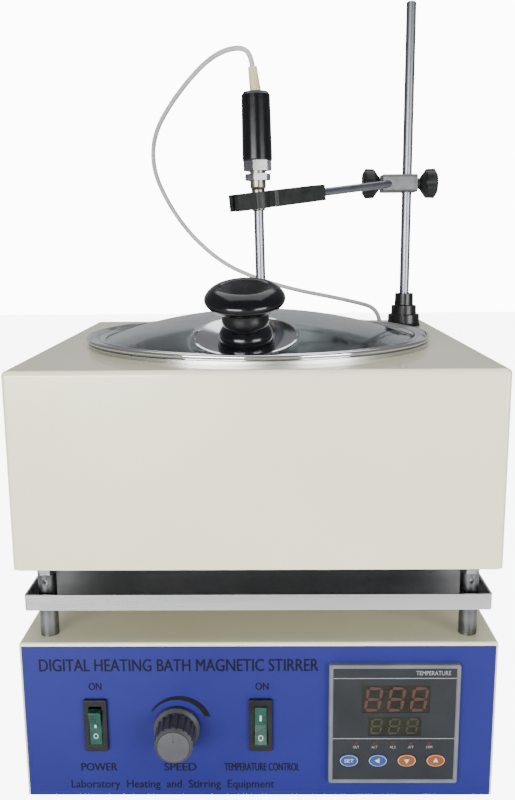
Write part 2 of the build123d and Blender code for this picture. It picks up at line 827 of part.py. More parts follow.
with BuildPart() as lid_glass:
    with BuildSketch(bath_side):
        with BuildLine():
            RadiusArc(
                (stem_hole_r, dome_z(stem_hole_r, glass_sphere)),
                (glass_r, dome_z(glass_r, glass_sphere)),
                glass_sphere,
            )
            Line((glass_r, dome_z(glass_r, glass_sphere)), (glass_r, dome_z(glass_r, inner_sphere)))
            RadiusArc(
                (glass_r, dome_z(glass_r, inner_sphere)),
                (stem_hole_r, dome_z(stem_hole_r, inner_sphere)),
                -inner_sphere,
            )
            Line(
                (stem_hole_r, dome_z(stem_hole_r, inner_sphere)),
                (stem_hole_r, dome_z(stem_hole_r, glass_sphere)),
            )
        make_face()
    revolve(axis=bath_axis)
    with BuildSketch(lid_knob_plane.offset(-8)):
        Circle(knob_screw_r + 0.2)
    extrude(amount=16, mode=Mode.SUBTRACT)
save("lid_glass", lid_glass.part)

rim_sheet = 0.8
rim_wall_r = glass_r + 0.1
edge_top = dome_z(glass_r, glass_sphere)
edge_bottom = dome_z(glass_r, inner_sphere)
with BuildPart() as lid_rim:
    with BuildSketch(bath_side):
        with BuildLine():
            Polyline(
                (rim_wall_r, edge_bottom - 0.1),
                (rim_wall_r - 3.0, edge_bottom - 0.1),
                (rim_wall_r - 3.0, edge_bottom - 0.1 - rim_sheet),
                (rim_wall_r + rim_sheet, edge_bottom - 0.1 - rim_sheet),
                (rim_wall_r + rim_sheet, lid_seat),
                (lid_r, lid_seat),
                (lid_r, lid_seat + 2.8),
                (lid_r - 1.0, lid_seat + 3.4),
                (lid_r - 2.4, lid_seat + 3.4),
                (lid_r - 2.8, lid_seat + rim_sheet),
                (rim_wall_r + rim_sheet, lid_seat + rim_sheet),
                (rim_wall_r + rim_sheet, edge_top + 0.8),
                (rim_wall_r - 3.4, edge_top + 1.9),
                (rim_wall_r - 3.4, edge_top + 1.3),
                (rim_wall_r, edge_top + 0.2),
                close=True,
            )
        make_face()
    revolve(axis=bath_axis)
save("lid_rim", lid_rim.part)

disc_r = 30.2
disc_lift = 2.4
disc_flat_r = 15.8
with BuildPart() as knob_disc:
    with BuildSketch(side_of(lid_knob_plane)):
        with BuildLine():
            Polyline((knob_screw_r + 0.1, 0.1), (disc_flat_r, 0.1), (disc_r - 1.2, disc_lift - 0.4))
            Polyline((disc_r - 1.2, disc_lift - 0.4), (disc_r, disc_lift - 0.2), (disc_r, disc_lift + 0.7))
            Polyline(
                (disc_r, disc_lift + 0.7),
                (disc_r - 0.9, disc_lift + 1.0),
                (disc_r - 1.6, disc_lift + 0.5),
                (disc_flat_r, 0.9),
                (knob_screw_r + 0.1, 0.9),
                (knob_screw_r + 0.1, 0.1),
            )
        make_face()
    revolve(axis=axis_of(lid_knob_plane))
save("knob_disc", knob_disc.part)

with BuildPart() as lid_knob:
    with BuildSketch(side_of(lid_knob_plane)):
        with BuildLine():
            Polyline((0, 0.9), (14.6, 0.9))
            Spline((14.6, 0.9), (15.4, 3.2), (14.4, 6.6), (12.6, 8.6))
            Polyline((12.6, 8.6), (12.2, 9.2), (12.9, 9.9))
            Spline((12.9, 9.9), (13.4, 12.0), (13.0, 15.5), (12.9, 19.0))
            Spline((12.9, 19.0), (20.3, 20.9), (22.7, 24.6), (20.6, 28.8), (14.2, 32.0))
            Polyline((14.2, 32.0), (13.2, 31.5), (0, 31.0), (0, 0.9))
        make_face()
    revolve(axis=axis_of(lid_knob_plane))
    with BuildSketch(lid_knob_plane):
        Circle(knob_screw_r)
    extrude(amount=16.0, mode=Mode.SUBTRACT)
save("lid_knob", lid_knob.part)

with BuildPart() as knob_screw:
    with BuildSketch(lid_knob_plane.offset(-glass_thick - 3.4)):
        Circle(5.0)
    extrude(amount=2.6)
    with BuildSketch(lid_knob_plane.offset(-glass_thick - 3.4)):
        Circle(knob_screw_r)
    extrude(amount=glass_thick + 3.4 + 15.5)
    with BuildSketch(lid_knob_plane.offset(-glass_thick - 3.4)):
        Rectangle(7.0, 1.2)
    extrude(amount=1.2, mode=Mode.SUBTRACT)
save("knob_screw", knob_screw.part)

# ---------------------------------------------------------------- stand
with BuildPart() as stand_rod:
    with BuildSketch(Plane.XY.offset(bath_top - 16.0)):
        with Locations((rod_x, rod_y)):
            Circle(rod_r)
    extrude(amount=rod_top - bath_top + 16.0)
    chamfer(stand_rod.faces().filter_by(Axis.Z).edges(), length=0.9)
save("stand_rod", stand_rod.part)

rod_nut_height = 6.0
nuts.append(nut(Plane((rod_x, rod_y, bath_top - sheet - rod_nut_height)), 13.0, rod_nut_height, rod_r))
save("panel_nuts", Compound(children=nuts))

boot_tiers = ((12.6, 0), (11.9, 2.3), (11.7, 8.4), (9.5, 8.9), (9.3, 15.1), (7.0, 15.7), (6.8, 24.3))
with BuildPart() as rod_boot:
    with BuildSketch(Plane.XZ.offset(-rod_y)):
        with BuildLine():
            Polyline(
                (rod_x + rod_r + 0.05, bath_top),
                *[(rod_x + r, bath_top + h) for r, h in boot_tiers],
                (rod_x + rod_r + 0.05, bath_top + 24.3),
                close=True,
            )
        make_face()
    revolve(axis=Axis((rod_x, rod_y, 0), (0, 0, 1)))
save("rod_boot", rod_boot.part)

# ---------------------------------------------------------------- boss head, arm and clip
clip_at = Vector(0.9, 2.0, 342.6)  # where the clip holds the probe
arm_heading = math.radians(40.3)
arm_rise = math.radians(6.5)
arm_dir = Vector(
    math.cos(arm_heading) * math.cos(arm_rise),
    math.sin(arm_heading) * math.cos(arm_rise),
    math.sin(arm_rise),
)
arm_side = Vector(-math.sin(arm_heading), math.cos(arm_heading), 0)
arm_plane = Plane(origin=clip_at, x_dir=arm_side, z_dir=arm_dir)  # across the arm
clip_plane = Plane(origin=clip_at, x_dir=arm_dir, z_dir=arm_dir.cross(arm_side))  # the clip's mid-plane
arm_r = 2.75
arm_start = 36.0
arm_end = 132.0

boss_x = (91.0, 116.5)
boss_y = (80.5, 101.5)
boss_z = 357.4
boss_thick = 12.7
screw_r = 2.5
arm_screw_y = 89.2
screw_lobes = 6
left_screw_plane = Plane(origin=(boss_x[0], arm_screw_y, boss_z), x_dir=(0, 1, 0), z_dir=(-1, 0, 0))
right_screw_plane = Plane(origin=(boss_x[1], rod_y, boss_z), x_dir=(0, 1, 0), z_dir=(1, 0, 0))
left_reach = 9.6  # from the end of the boss in to the arm
right_reach = boss_x[1] - rod_x - rod_r

with BuildPart() as boss_head:
    with BuildSketch(Plane.XY.offset(boss_z - boss_thick / 2)):
        with Locations(((boss_x[0] + boss_x[1]) / 2, (boss_y[0] + boss_y[1]) / 2)):
            Rectangle(boss_x[1] - boss_x[0], boss_y[1] - boss_y[0])
    extrude(amount=boss_thick)
    fillet(boss_head.edges().filter_by(Axis.X), radius=2.2)
    fillet(boss_head.faces().filter_by(Axis.X).edges(), radius=0.8)
    with BuildSketch(Plane.XY.offset(boss_z - boss_thick)):
        with Locations((rod_x, rod_y)):
            Circle(rod_r + running)
    extrude(amount=2 * boss_thick, mode=Mode.SUBTRACT)
    with BuildSketch(left_screw_plane.offset(1.0)):
        Circle(screw_r + running)
    extrude(amount=-(left_reach + 1.0), mode=Mode.SUBTRACT)
    with BuildSketch(right_screw_plane.offset(1.0)):
        Circle(screw_r + running)
    extrude(amount=-(right_reach + 1.5), mode=Mode.SUBTRACT)
    with BuildSketch(arm_plane.offset(arm_start)):
        Circle(arm_r + 0.01)
    extrude(amount=arm_end - arm_start, mode=Mode.SUBTRACT)
save("boss_head", boss_head.part)


def thumb_screw(base, reach, neck):
    """A lobed knob on a screw: the base plane lies on the boss and faces the knob."""
    with BuildPart() as piece:
        with BuildSketch(side_of(base)):
            with BuildLine():
                Polyline(
                    (0, neck),
                    (4.2, neck),
                    (5.4, neck + 0.8),
                    (10.5, neck + 4.6),
                    (10.7, neck + 10.6),
                    (7.6, neck + 12.6),
                    (0, neck + 12.8),
                    close=True,
                )
            make_face()
        revolve(axis=axis_of(base))
        with BuildSketch(base.offset(neck)):
            with PolarLocations(13.4, screw_lobes):
                Circle(4.0)
        extrude(amount=14.0, mode=Mode.SUBTRACT)
        with BuildSketch(base.offset(neck)):
            Circle(screw_r)
        extrude(amount=-(reach + neck))
        if neck > 1.5:
            with BuildSketch(base.offset(0.4)):
                Circle(4.0)
            extrude(amount=neck - 0.4)
    return piece.part


save("arm_screw", thumb_screw(left_screw_plane, left_reach - 4.2, 1.4))
save("rod_screw", thumb_screw(right_screw_plane, right_reach - 0.1, 3.0))

with BuildPart() as clamp_arm:
    with BuildSketch(arm_plane.offset(arm_start)):
        Circle(arm_r)
    extrude(amount=arm_end - arm_start)
    chamfer(clamp_arm.edges().filter_by(GeomType.CIRCLE), length=0.5)
save("clamp_arm", clamp_arm.part)

probe_lean = math.radians(1.2)
probe_plane = Plane(origin=clip_at, z_dir=(-math.sin(probe_lean), 0, math.cos(probe_lean)))
grip_r = 4.2
fitting_r = 5.0
clip_thick = 10.4
clip_left = -20.2
clip_right = 55.2

with BuildPart() as probe_clip:
    with BuildSketch(clip_plane.offset(-clip_thick / 2)):
        with Locations((clip_left / 2, 0)):
            Rectangle(-clip_left, 9.6)
        Circle(7.2)
        with Locations((10, 0)):
            Rectangle(20, 9.0)
        with Locations(((clip_right + 9.5) / 2, 0)):
            RectangleRounded(clip_right - 9.5, 13.0, 2.5)
        with Locations((clip_left / 2 - 2, 0)):
            Rectangle(-clip_left, 2.4, mode=Mode.SUBTRACT)
    extrude(amount=clip_thick)
    with BuildSketch(probe_plane.offset(-2 * clip_thick)):
        Circle(grip_r)
    extrude(amount=4 * clip_thick, mode=Mode.SUBTRACT)
    with BuildSketch(arm_plane.offset(arm_start)):
        Circle(arm_r)
    extrude(amount=clip_right, mode=Mode.SUBTRACT)
save("probe_clip", probe_clip.part)

# ---------------------------------------------------------------- probe
stem_r = 3.15
stem_tip = -160.0
fitting_bottom = -6.5
lock_nut_at = 12.3
gland_nut_at = 18.2
handle_at = 24.4
handle_length = 41.7
sleeve_length = 15.0

with BuildPart() as probe_fitting:
    with BuildSketch(side_of(probe_plane)):
        with BuildLine():
            Polyline(
                (stem_r, fitting_bottom),
                (grip_r - 0.4, fitting_bottom),
                (grip_r, fitting_bottom + 0.6),
                (grip_r, 6.4),
                (fitting_r, 8.2),
                (fitting_r, handle_at),
                (stem_r, handle_at),
                close=True,
            )
        make_face()
    revolve(axis=axis_of(probe_plane))
save("probe_fitting", probe_fitting.part)

with BuildPart() as probe_nuts:
    for height, size, thick in ((lock_nut_at, 14.4, 4.1), (gland_nut_at, 15.8, 6.2)):
        with BuildSketch(probe_plane.offset(height)):
            RegularPolygon(size / 2, 6, major_radius=False, rotation=12)
            Circle(fitting_r, mode=Mode.SUBTRACT)
        extrude(amount=thick)
save("probe_nuts", probe_nuts.part)

with BuildPart() as probe_stem:
    with BuildSketch(probe_plane.offset(stem_tip + stem_r)):
        Circle(stem_r)
    extrude(amount=handle_at - stem_tip - stem_r)
    fillet(probe_stem.edges().sort_by(Axis.Z)[0], radius=stem_r - 0.2)
save("probe_stem", probe_stem.part)

with BuildPart() as probe_handle:
    with BuildSketch(side_of(probe_plane)):
        with BuildLine():
            Polyline(
                (0, handle_at),
                (9.3, handle_at),
                (9.5, handle_at + 1.0),
                (9.0, handle_at + handle_length - 1.8),
                (7.6, handle_at + handle_length),
                (0, handle_at + handle_length),
                close=True,
            )
        make_face()
    revolve(axis=axis_of(probe_plane))
save("probe_handle", probe_handle.part)

sleeve_lean = math.radians(7.0)
sleeve_foot = probe_plane.origin + probe_plane.z_dir * (handle_at + handle_length)
sleeve_plane = Plane(origin=sleeve_foot, z_dir=(-math.sin(sleeve_lean), 0, math.cos(sleeve_lean)))
with BuildPart() as probe_sleeve:
    with BuildSketch(sleeve_plane.offset(-1.0)):
        Circle(3.6)
    with BuildSketch(sleeve_plane.offset(sleeve_length)):
        Circle(2.8)
    loft()
    split(bisect_by=probe_plane.offset(handle_at + handle_length), keep=Keep.TOP)
save("probe_sleeve", probe_sleeve.part)

# ---------------------------------------------------------------- probe cable
cable_r = 1.6
sleeve_end = sleeve_plane.origin + sleeve_plane.z_dir * sleeve_length
cable_start = sleeve_end + sleeve_plane.z_dir * 0.1
cable_rise = cable_start + sleeve_plane.z_dir * 7.4
cable_route = [
    tuple(cable_start),
    tuple(cable_rise),
    (-9.4, 3.5, 435.8),
    (-23.0, 10.5, 434.5),
    (-37.5, 21.0, 426.5),
    (-57.0, 42.0, 410.0),
    (-73.0, 64.0, 391.0),
    (-77.0, 83.0, 369.0),
    (-68.0, 95.0, 345.0),
    (-52.0, 103.0, 321.0),
    (-28.0, 113.0, 299.0),
    (0.0, 116.0, 286.5),
    (29.0, 117.0, 278.0),
    (56.0, 112.0, 273.0),
    (76.0, 103.0, 269.0),
    (87.5, 96.5, 266.0),
    (92.8, 93.3, 257.0),
    (92.6, 93.4, 238.0),
    (93.0, 93.2, 208.0),
    (92.7, 93.4, 176.0),
    (92.8, 93.3, bath_bottom - sheet),
]


def arc_radii(points):
    """The radius of each corner's arc: 0.45 of its shorter run, over the tangent of half its turn."""
    radii = []
    for before, corner, after in zip(points, points[1:], points[2:]):
        run_in = Vector(corner) - Vector(before)
        run_out = Vector(after) - Vector(corner)
        half_turn = math.radians(run_in.get_angle(run_out)) / 2
        radii.append(0.45 * min(run_in.length, run_out.length) / math.tan(half_turn))
    return radii


cable_radii = arc_radii(cable_route)
with BuildPart() as probe_cable:
    with BuildLine() as cable_line:
        FilletPolyline(*cable_route, radius=cable_radii)
    with BuildSketch(Plane(origin=cable_route[0], z_dir=cable_line.line % 0)):
        Circle(cable_r)
    sweep()
save("probe_cable", probe_cable.part)

cable_section = math.pi * cable_r**2
cable_length = sum(edge.length for edge in cable_line.edges())
print("cable radii", [round(r) for r in cable_radii], "length", round(cable_length, 1))
print("cable volume", round(probe_cable.part.volume), "of", round(cable_section * cable_length))

with BuildPart() as cable_grommets:
    for z in (bath_top - sheet, bath_bottom - sheet):
        with BuildSketch(Plane.XY.offset(z + sheet)):
            with Locations((grommet_x, grommet_y)):
                Circle(grommet_r)
                Circle(cable_r + 0.6, mode=Mode.SUBTRACT)
        extrude(amount=1.3)
        with BuildSketch(Plane.XY.offset(z + sheet)):
            with Locations((grommet_x, grommet_y)):
                Circle(grommet_r - 1.0)
                Circle(cable_r + 0.6, mode=Mode.SUBTRACT)
        extrude(amount=-sheet)
save("cable_grommets", cable_grommets.part)
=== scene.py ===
# %% [markdown]
# # A heating-bath magnetic stirrer
# The real thing is two folded steel cabinets. The lower one holds the motor and the controls, and the upper one
# holds a round steel bath with a domed glass lid. The solids come from the frame, already in their places. Here
# they get their finishes, and the pieces that need rounder or finer shapes are modelled again over them.

# %% Load the frame
import math

import bpy
from mathutils import Matrix, Vector


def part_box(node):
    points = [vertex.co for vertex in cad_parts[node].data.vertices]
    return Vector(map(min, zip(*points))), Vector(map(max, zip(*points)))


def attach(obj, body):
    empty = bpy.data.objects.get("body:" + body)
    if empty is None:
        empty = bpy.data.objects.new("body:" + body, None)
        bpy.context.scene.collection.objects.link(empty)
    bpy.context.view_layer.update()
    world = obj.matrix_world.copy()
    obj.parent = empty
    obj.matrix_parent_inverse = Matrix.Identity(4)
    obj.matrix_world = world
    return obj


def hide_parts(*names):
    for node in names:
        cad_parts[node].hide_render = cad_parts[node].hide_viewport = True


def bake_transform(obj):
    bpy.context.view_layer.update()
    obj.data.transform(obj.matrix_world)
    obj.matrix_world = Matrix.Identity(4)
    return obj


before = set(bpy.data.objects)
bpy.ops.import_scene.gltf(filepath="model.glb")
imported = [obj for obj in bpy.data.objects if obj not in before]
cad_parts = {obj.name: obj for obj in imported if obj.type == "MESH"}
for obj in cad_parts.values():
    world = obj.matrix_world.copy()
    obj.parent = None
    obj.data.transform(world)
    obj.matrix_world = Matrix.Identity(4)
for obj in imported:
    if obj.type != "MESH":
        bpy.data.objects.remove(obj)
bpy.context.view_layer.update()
mm = 0.001

# %% [markdown]
# ## Camera
# The stirrer stands on a bench and is seen from a little above its lid, from half a metre in front. The lens is a
# normal one, so the tops of both cabinets still narrow towards the back.

# %% Camera
camera_place = (5.85 * mm, -552.1 * mm, 320.1 * mm)
left_degrees, down_degrees, roll_degrees = 0.68, 11.03, -0.44
camera_data = bpy.data.cameras.new("camera")
camera_data.lens = 37.85
camera_data.sensor_width = 36.0
camera = bpy.data.objects.new("camera", camera_data)
bpy.context.scene.collection.objects.link(camera)
turn_left = Matrix.Rotation(math.radians(left_degrees), 4, "Z")
look_down = Matrix.Rotation(math.radians(90.0 - down_degrees), 4, "X")
roll = Matrix.Rotation(math.radians(roll_degrees), 4, "Z")
camera.matrix_world = Matrix.Translation(camera_place) @ turn_left @ look_down @ roll
bpy.context.scene.camera = camera
print("camera at", [round(v, 3) for v in camera.location])


# %% [markdown]
# ## Small helpers
# Every operator acts on what is selected, so a helper that selects one piece alone comes first. Another one applies
# a piece's place to its mesh, because finished objects stay at the origin.

# %% Selecting and settling
def pick(piece):
    """Selects one piece alone and makes it the active one."""
    bpy.ops.object.select_all(action="DESELECT")
    piece.select_set(True)
    bpy.context.view_layer.objects.active = piece


def settle(piece):
    """Puts a piece's place, turn and size into its mesh."""
    pick(piece)
    bpy.ops.object.transform_apply(location=True, rotation=True, scale=True)
    return piece


def smooth(piece, degrees=35):
    """Shades a piece smoothly, with its sharp edges kept."""
    pick(piece)
    bpy.ops.object.shade_smooth_by_angle(angle=math.radians(degrees))
    return piece


def dress(piece, material, *nodes, body="housing"):
    """Gives a new piece its finish, its body, and the frame's nodes that it stands for."""
    piece.data.materials.clear()
    piece.data.materials.append(material)
    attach(piece, body)
    if nodes:
        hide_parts(*nodes)
    return piece


# %% [markdown]
# ## Effects that the finishes share
# Three effects come back in nearly every finish: a broad unevenness in tone, a fine grain that the light catches,
# and dust on what faces up. Each one is a node group with named sockets, built once. A helper adds a node with its
# settings and its sockets' values in one line.

# %% Adding a node
def add_node(tree, kind, values=None, **settings):
    """Adds a node with its settings, such as its operation, and then gives its input sockets their values."""
    node = tree.nodes.new("ShaderNode" + kind)
    for setting, value in settings.items():
        setattr(node, setting, value)
    for socket, value in (values or {}).items():
        node.inputs[socket].default_value = value
    return node


# %% The group for uneven tone
def new_group(name, inputs, outputs):
    """Makes an empty shader group with the given sockets, and returns it with its two ends."""
    group = bpy.data.node_groups.new(name, "ShaderNodeTree")
    for label, kind, value in inputs:
        socket = group.interface.new_socket(label, in_out="INPUT", socket_type=kind)
        if value is not None:
            socket.default_value = value
    for label, kind in outputs:
        group.interface.new_socket(label, in_out="OUTPUT", socket_type=kind)
    return group, group.nodes.new("NodeGroupInput"), group.nodes.new("NodeGroupOutput")


uneven, start, end = new_group(
    "uneven tone",
    [("Vector", "NodeSocketVector", None), ("Scale", "NodeSocketFloat", 30.0), ("Contrast", "NodeSocketFloat", 0.5)],
    [("Mask", "NodeSocketFloat")],
)
# Noise keeps close to its middle, so the contrast is multiplied before it spreads the noise over the whole mask.
middle, contrast_gain = 0.5, 5.0
noise = add_node(uneven, "TexNoise", {"Detail": 4.0})
centred = add_node(uneven, "Math", {1: middle}, operation="SUBTRACT")
gain = add_node(uneven, "Math", {1: contrast_gain}, operation="MULTIPLY")
spread = add_node(uneven, "Math", {2: middle}, operation="MULTIPLY_ADD", use_clamp=True)
uneven.links.new(start.outputs["Vector"], noise.inputs["Vector"])
uneven.links.new(start.outputs["Scale"], noise.inputs["Scale"])
uneven.links.new(noise.outputs["Fac"], centred.inputs[0])
uneven.links.new(start.outputs["Contrast"], gain.inputs[0])
uneven.links.new(centred.outputs[0], spread.inputs[0])
uneven.links.new(gain.outputs[0], spread.inputs[1])
uneven.links.new(spread.outputs[0], end.inputs["Mask"])

# %% The group for fine grain
grain, start, end = new_group(
    "fine grain",
    [("Vector", "NodeSocketVector", None), ("Scale", "NodeSocketFloat", 600.0), ("Depth", "NodeSocketFloat", 1e-5)],
    [("Mask", "NodeSocketFloat"), ("Normal", "NodeSocketVector")],
)
noise = add_node(grain, "TexNoise", {"Detail": 3.0, "Roughness": 0.6})
bump = add_node(grain, "Bump")
grain.links.new(start.outputs["Vector"], noise.inputs["Vector"])
grain.links.new(start.outputs["Scale"], noise.inputs["Scale"])
grain.links.new(noise.outputs["Fac"], bump.inputs["Height"])
grain.links.new(start.outputs["Depth"], bump.inputs["Distance"])
grain.links.new(noise.outputs["Fac"], end.inputs["Mask"])
grain.links.new(bump.outputs["Normal"], end.inputs["Normal"])

# %% The group for settled dust
dust, start, end = new_group(
    "settled dust",
    [("Vector", "NodeSocketVector", None), ("Amount", "NodeSocketFloat", 0.2)],
    [("Mask", "NodeSocketFloat")],
)
facing = add_node(dust, "NewGeometry")
upward = add_node(dust, "SeparateXYZ")
level = add_node(dust, "MapRange", {"From Min": 0.75, "From Max": 1.0})
patches = add_node(dust, "TexNoise", {"Scale": 28.0, "Detail": 8.0, "Roughness": 0.7})
where = add_node(dust, "MapRange", {"From Min": 0.4, "From Max": 0.75})
both = add_node(dust, "Math", operation="MULTIPLY")
amount = add_node(dust, "Math", operation="MULTIPLY")
dust.links.new(facing.outputs["Normal"], upward.inputs[0])
dust.links.new(upward.outputs["Z"], level.inputs["Value"])
dust.links.new(start.outputs["Vector"], patches.inputs["Vector"])
dust.links.new(patches.outputs["Fac"], where.inputs["Value"])
dust.links.new(level.outputs["Result"], both.inputs[0])
dust.links.new(where.outputs["Result"], both.inputs[1])
dust.links.new(both.outputs[0], amount.inputs[0])
dust.links.new(start.outputs["Amount"], amount.inputs[1])
dust.links.new(amount.outputs[0], end.inputs["Mask"])
print("groups:", uneven.name, grain.name, dust.name)


# %% [markdown]
# ## One way to build a finish
# A finish is a pair of tones, a pair of roughnesses and a grain. The tone wanders between the pair by the first
# group's mask, the grain tilts the normal, and dust lightens and dulls what faces up. Gloss that is the same all
# over, such as a coat, is set on the shader's own sockets.

# %% The builder of finishes
dust_colour = (0.42, 0.40, 0.36, 1)


def finish(
    name, tones, roughness, metallic=0.0, tone=(30, 0.5), texture=(600, 1e-5), stretch=(1, 1, 1), dusty=0.0, **own
):
    """A procedural finish: two tones, two roughnesses, (scale, contrast) of tone and (scale, depth) of grain."""
    material = bpy.data.materials.new(name)
    material.use_nodes = True
    tree = material.node_tree
    links = tree.links
    shader = tree.nodes["Principled BSDF"]
    place = add_node(tree, "TexCoord")
    mapping = add_node(tree, "Mapping", {"Scale": stretch})
    tone_group = add_node(tree, "Group", {"Scale": tone[0], "Contrast": tone[1]}, node_tree=uneven)
    grain_group = add_node(tree, "Group", {"Scale": texture[0], "Depth": texture[1]}, node_tree=grain)
    dust_group = add_node(tree, "Group", {"Amount": dusty}, node_tree=dust)
    links.new(place.outputs["Object"], mapping.inputs["Vector"])
    links.new(mapping.outputs["Vector"], tone_group.inputs["Vector"])
    links.new(mapping.outputs["Vector"], grain_group.inputs["Vector"])
    links.new(place.outputs["Object"], dust_group.inputs["Vector"])

    colours = add_node(tree, "Mix", {"A": (*tones[0], 1), "B": (*tones[1], 1)}, data_type="RGBA")
    dusted = add_node(tree, "Mix", {"B": dust_colour}, data_type="RGBA")
    links.new(tone_group.outputs["Mask"], colours.inputs["Factor"])
    links.new(colours.outputs["Result"], dusted.inputs["A"])
    links.new(dust_group.outputs["Mask"], dusted.inputs["Factor"])
    links.new(dusted.outputs["Result"], shader.inputs["Base Color"])

    half = add_node(tree, "Math", {1: 0.5}, operation="MULTIPLY")
    mixed = add_node(tree, "Math", {1: 0.5}, operation="MULTIPLY_ADD")
    rough = add_node(tree, "MapRange", {"To Min": roughness[0], "To Max": roughness[1]})
    dull = add_node(tree, "Math", operation="ADD", use_clamp=True)
    links.new(tone_group.outputs["Mask"], half.inputs[0])
    links.new(grain_group.outputs["Mask"], mixed.inputs[0])
    links.new(half.outputs[0], mixed.inputs[2])
    links.new(mixed.outputs[0], rough.inputs["Value"])
    links.new(rough.outputs["Result"], dull.inputs[0])
    links.new(dust_group.outputs["Mask"], dull.inputs[1])
    links.new(dull.outputs[0], shader.inputs["Roughness"])
    links.new(grain_group.outputs["Normal"], shader.inputs["Normal"])
    shader.inputs["Metallic"].default_value = metallic
    for socket, value in own.items():
        shader.inputs[socket.replace("_", " ")].default_value = value
    return material


# %% [markdown]
# ## Paints and prints
# The cabinets are stove enamelled: a thick cream coat with a faint orange peel under its gloss. The front is a blue
# printed plastic label, so it is smoother and its gloss is softer.

# %% Paints and prints
cream_enamel = finish(
    "cream enamel", [(0.74, 0.71, 0.46), (0.80, 0.77, 0.555)], (0.14, 0.24), tone=(9, 0.5), texture=(300, 2.2e-5),
    dusty=0.08, Coat_Weight=0.6, Coat_Roughness=0.05,
)
blue_label = finish(
    "blue label", [(0.010, 0.011, 0.115), (0.013, 0.015, 0.14)], (0.40, 0.52), tone=(12, 0.6), texture=(1500, 4e-6),
    Specular_IOR_Level=0.22,
)
black_ink = finish(
    "black ink", [(0.002, 0.002, 0.004), (0.005, 0.005, 0.008)], (0.5, 0.6),
    texture=(2500, 2e-6), Specular_IOR_Level=0.15,
)
line_ink = finish("line ink", [(0.20, 0.21, 0.22), (0.25, 0.26, 0.27)], (0.5, 0.6), texture=(2500, 2e-6))
pale_ink = finish("pale ink", [(0.42, 0.44, 0.46), (0.50, 0.52, 0.54)], (0.45, 0.55), texture=(2500, 2e-6))

# %% [markdown]
# ## Metals
# Sheet steel keeps the long scratches of its rolling, so its pattern is stretched along one axis. Turned and
# plated parts have a finer and rounder grain. The lid's rim and saucer are close to mirrors, and the posts are duller.
# The posts' dark tone is partly painted shade: it darkens them as the shade under the drip tray would.

# %% Metals
brushed_steel = finish(
    "brushed stainless", [(0.50, 0.50, 0.51), (0.68, 0.68, 0.69)], (0.18, 0.42), 1.0, tone=(25, 0.7),
    texture=(900, 6e-6), stretch=(0.05, 1, 1), dusty=0.15,
)
polished_steel = finish(
    "polished stainless", [(0.62, 0.62, 0.64), (0.74, 0.74, 0.76)], (0.05, 0.16), 1.0,
    tone=(20, 0.6), texture=(500, 3e-6),
)
rod_steel = finish(
    "drawn rod steel", [(0.17, 0.178, 0.20), (0.23, 0.238, 0.265)], (0.30, 0.40), 1.0, tone=(60, 0.4),
    texture=(300, 4e-7), stretch=(1, 1, 0.06),
)
zinc_steel = finish(
    "zinc plate", [(0.36, 0.365, 0.37), (0.52, 0.525, 0.53)], (0.22, 0.42), 1.0,
    tone=(90, 0.8), texture=(1200, 8e-6), dusty=0.1,
)
# Partly painted shade: the posts' dull chrome gets a dark tone that stands in for the shade under the drip tray.
post_chrome_with_painted_shade = finish(
    "post chrome with painted shade", [(0.11, 0.113, 0.115), (0.20, 0.203, 0.205)], (0.22, 0.40), 1.0, tone=(60, 0.7), texture=(800, 5e-6),
)
heater_steel = finish(
    "heat-tinted sheath", [(0.20, 0.17, 0.14), (0.34, 0.30, 0.27)], (0.3, 0.5), 1.0,
    tone=(60, 0.8), texture=(900, 1e-5),
)
pot_steel = finish(
    "bath steel", [(0.58, 0.58, 0.57), (0.72, 0.72, 0.71)], (0.22, 0.42), 1.0, tone=(18, 0.8), texture=(500, 8e-6),
)
cast_grey = finish(
    "cast alloy", [(0.10, 0.104, 0.11), (0.16, 0.164, 0.17)], (0.32, 0.5), 0.8, tone=(120, 0.7), texture=(700, 2.5e-5),
)
brass = finish("brass", [(0.60, 0.44, 0.18), (0.72, 0.54, 0.25)], (0.25, 0.4), 1.0, texture=(900, 6e-6))
dark_fitting = finish(
    "dark fitting", [(0.16, 0.15, 0.12), (0.28, 0.26, 0.21)], (0.25, 0.42), 1.0, tone=(120, 0.8), texture=(900, 1e-5),
)
cap_aluminium = finish(
    "cap aluminium", [(0.040, 0.041, 0.047), (0.055, 0.056, 0.062)], (0.45, 0.6), 0.0,
    tone=(100, 0.5), texture=(1500, 5e-6),
)
iron_laminations = finish(
    "transformer iron", [(0.05, 0.045, 0.04), (0.09, 0.08, 0.07)], (0.5, 0.7), 0.3,
    texture=(900, 3e-5), stretch=(1, 1, 3),
)

# %% [markdown]
# ## Plastics, rubber and wool
# Glossy phenolic for the lid's knob and the probe's handle, textured paint on the clip, dull rubber on the boot and
# feet, and translucent green in the rockers.

# %% Plastics, rubber and wool
gloss_black = finish(
    "gloss black phenolic", [(0.002, 0.002, 0.003), (0.005, 0.005, 0.006)], (0.14, 0.26), tone=(50, 0.6),
    texture=(400, 8e-7), dusty=0.03, Specular_IOR_Level=0.28, Coat_Weight=0.12, Coat_Roughness=0.10,
)
satin_black = finish(
    "satin black plastic", [(0.004, 0.004, 0.005), (0.009, 0.009, 0.010)], (0.34, 0.5),
    tone=(90, 0.6), texture=(1300, 8e-6), Specular_IOR_Level=0.3,
)
wrinkle_black = finish(
    "wrinkle black paint", [(0.003, 0.004, 0.004), (0.010, 0.011, 0.011)], (0.40, 0.6), tone=(150, 0.7),
    texture=(650, 9e-5), dusty=0.04, Specular_IOR_Level=0.35,
)
boot_rubber = finish(
    "boot rubber", [(0.003, 0.003, 0.004), (0.008, 0.008, 0.009)], (0.24, 0.4),
    tone=(70, 0.6), texture=(700, 1e-5), dusty=0.05, Specular_IOR_Level=0.35,
)
knob_grey = finish(
    "grey knob plastic", [(0.030, 0.031, 0.035), (0.043, 0.044, 0.048)], (0.40, 0.55),
    tone=(90, 0.6), texture=(1400, 1e-5), Specular_IOR_Level=0.3,
)
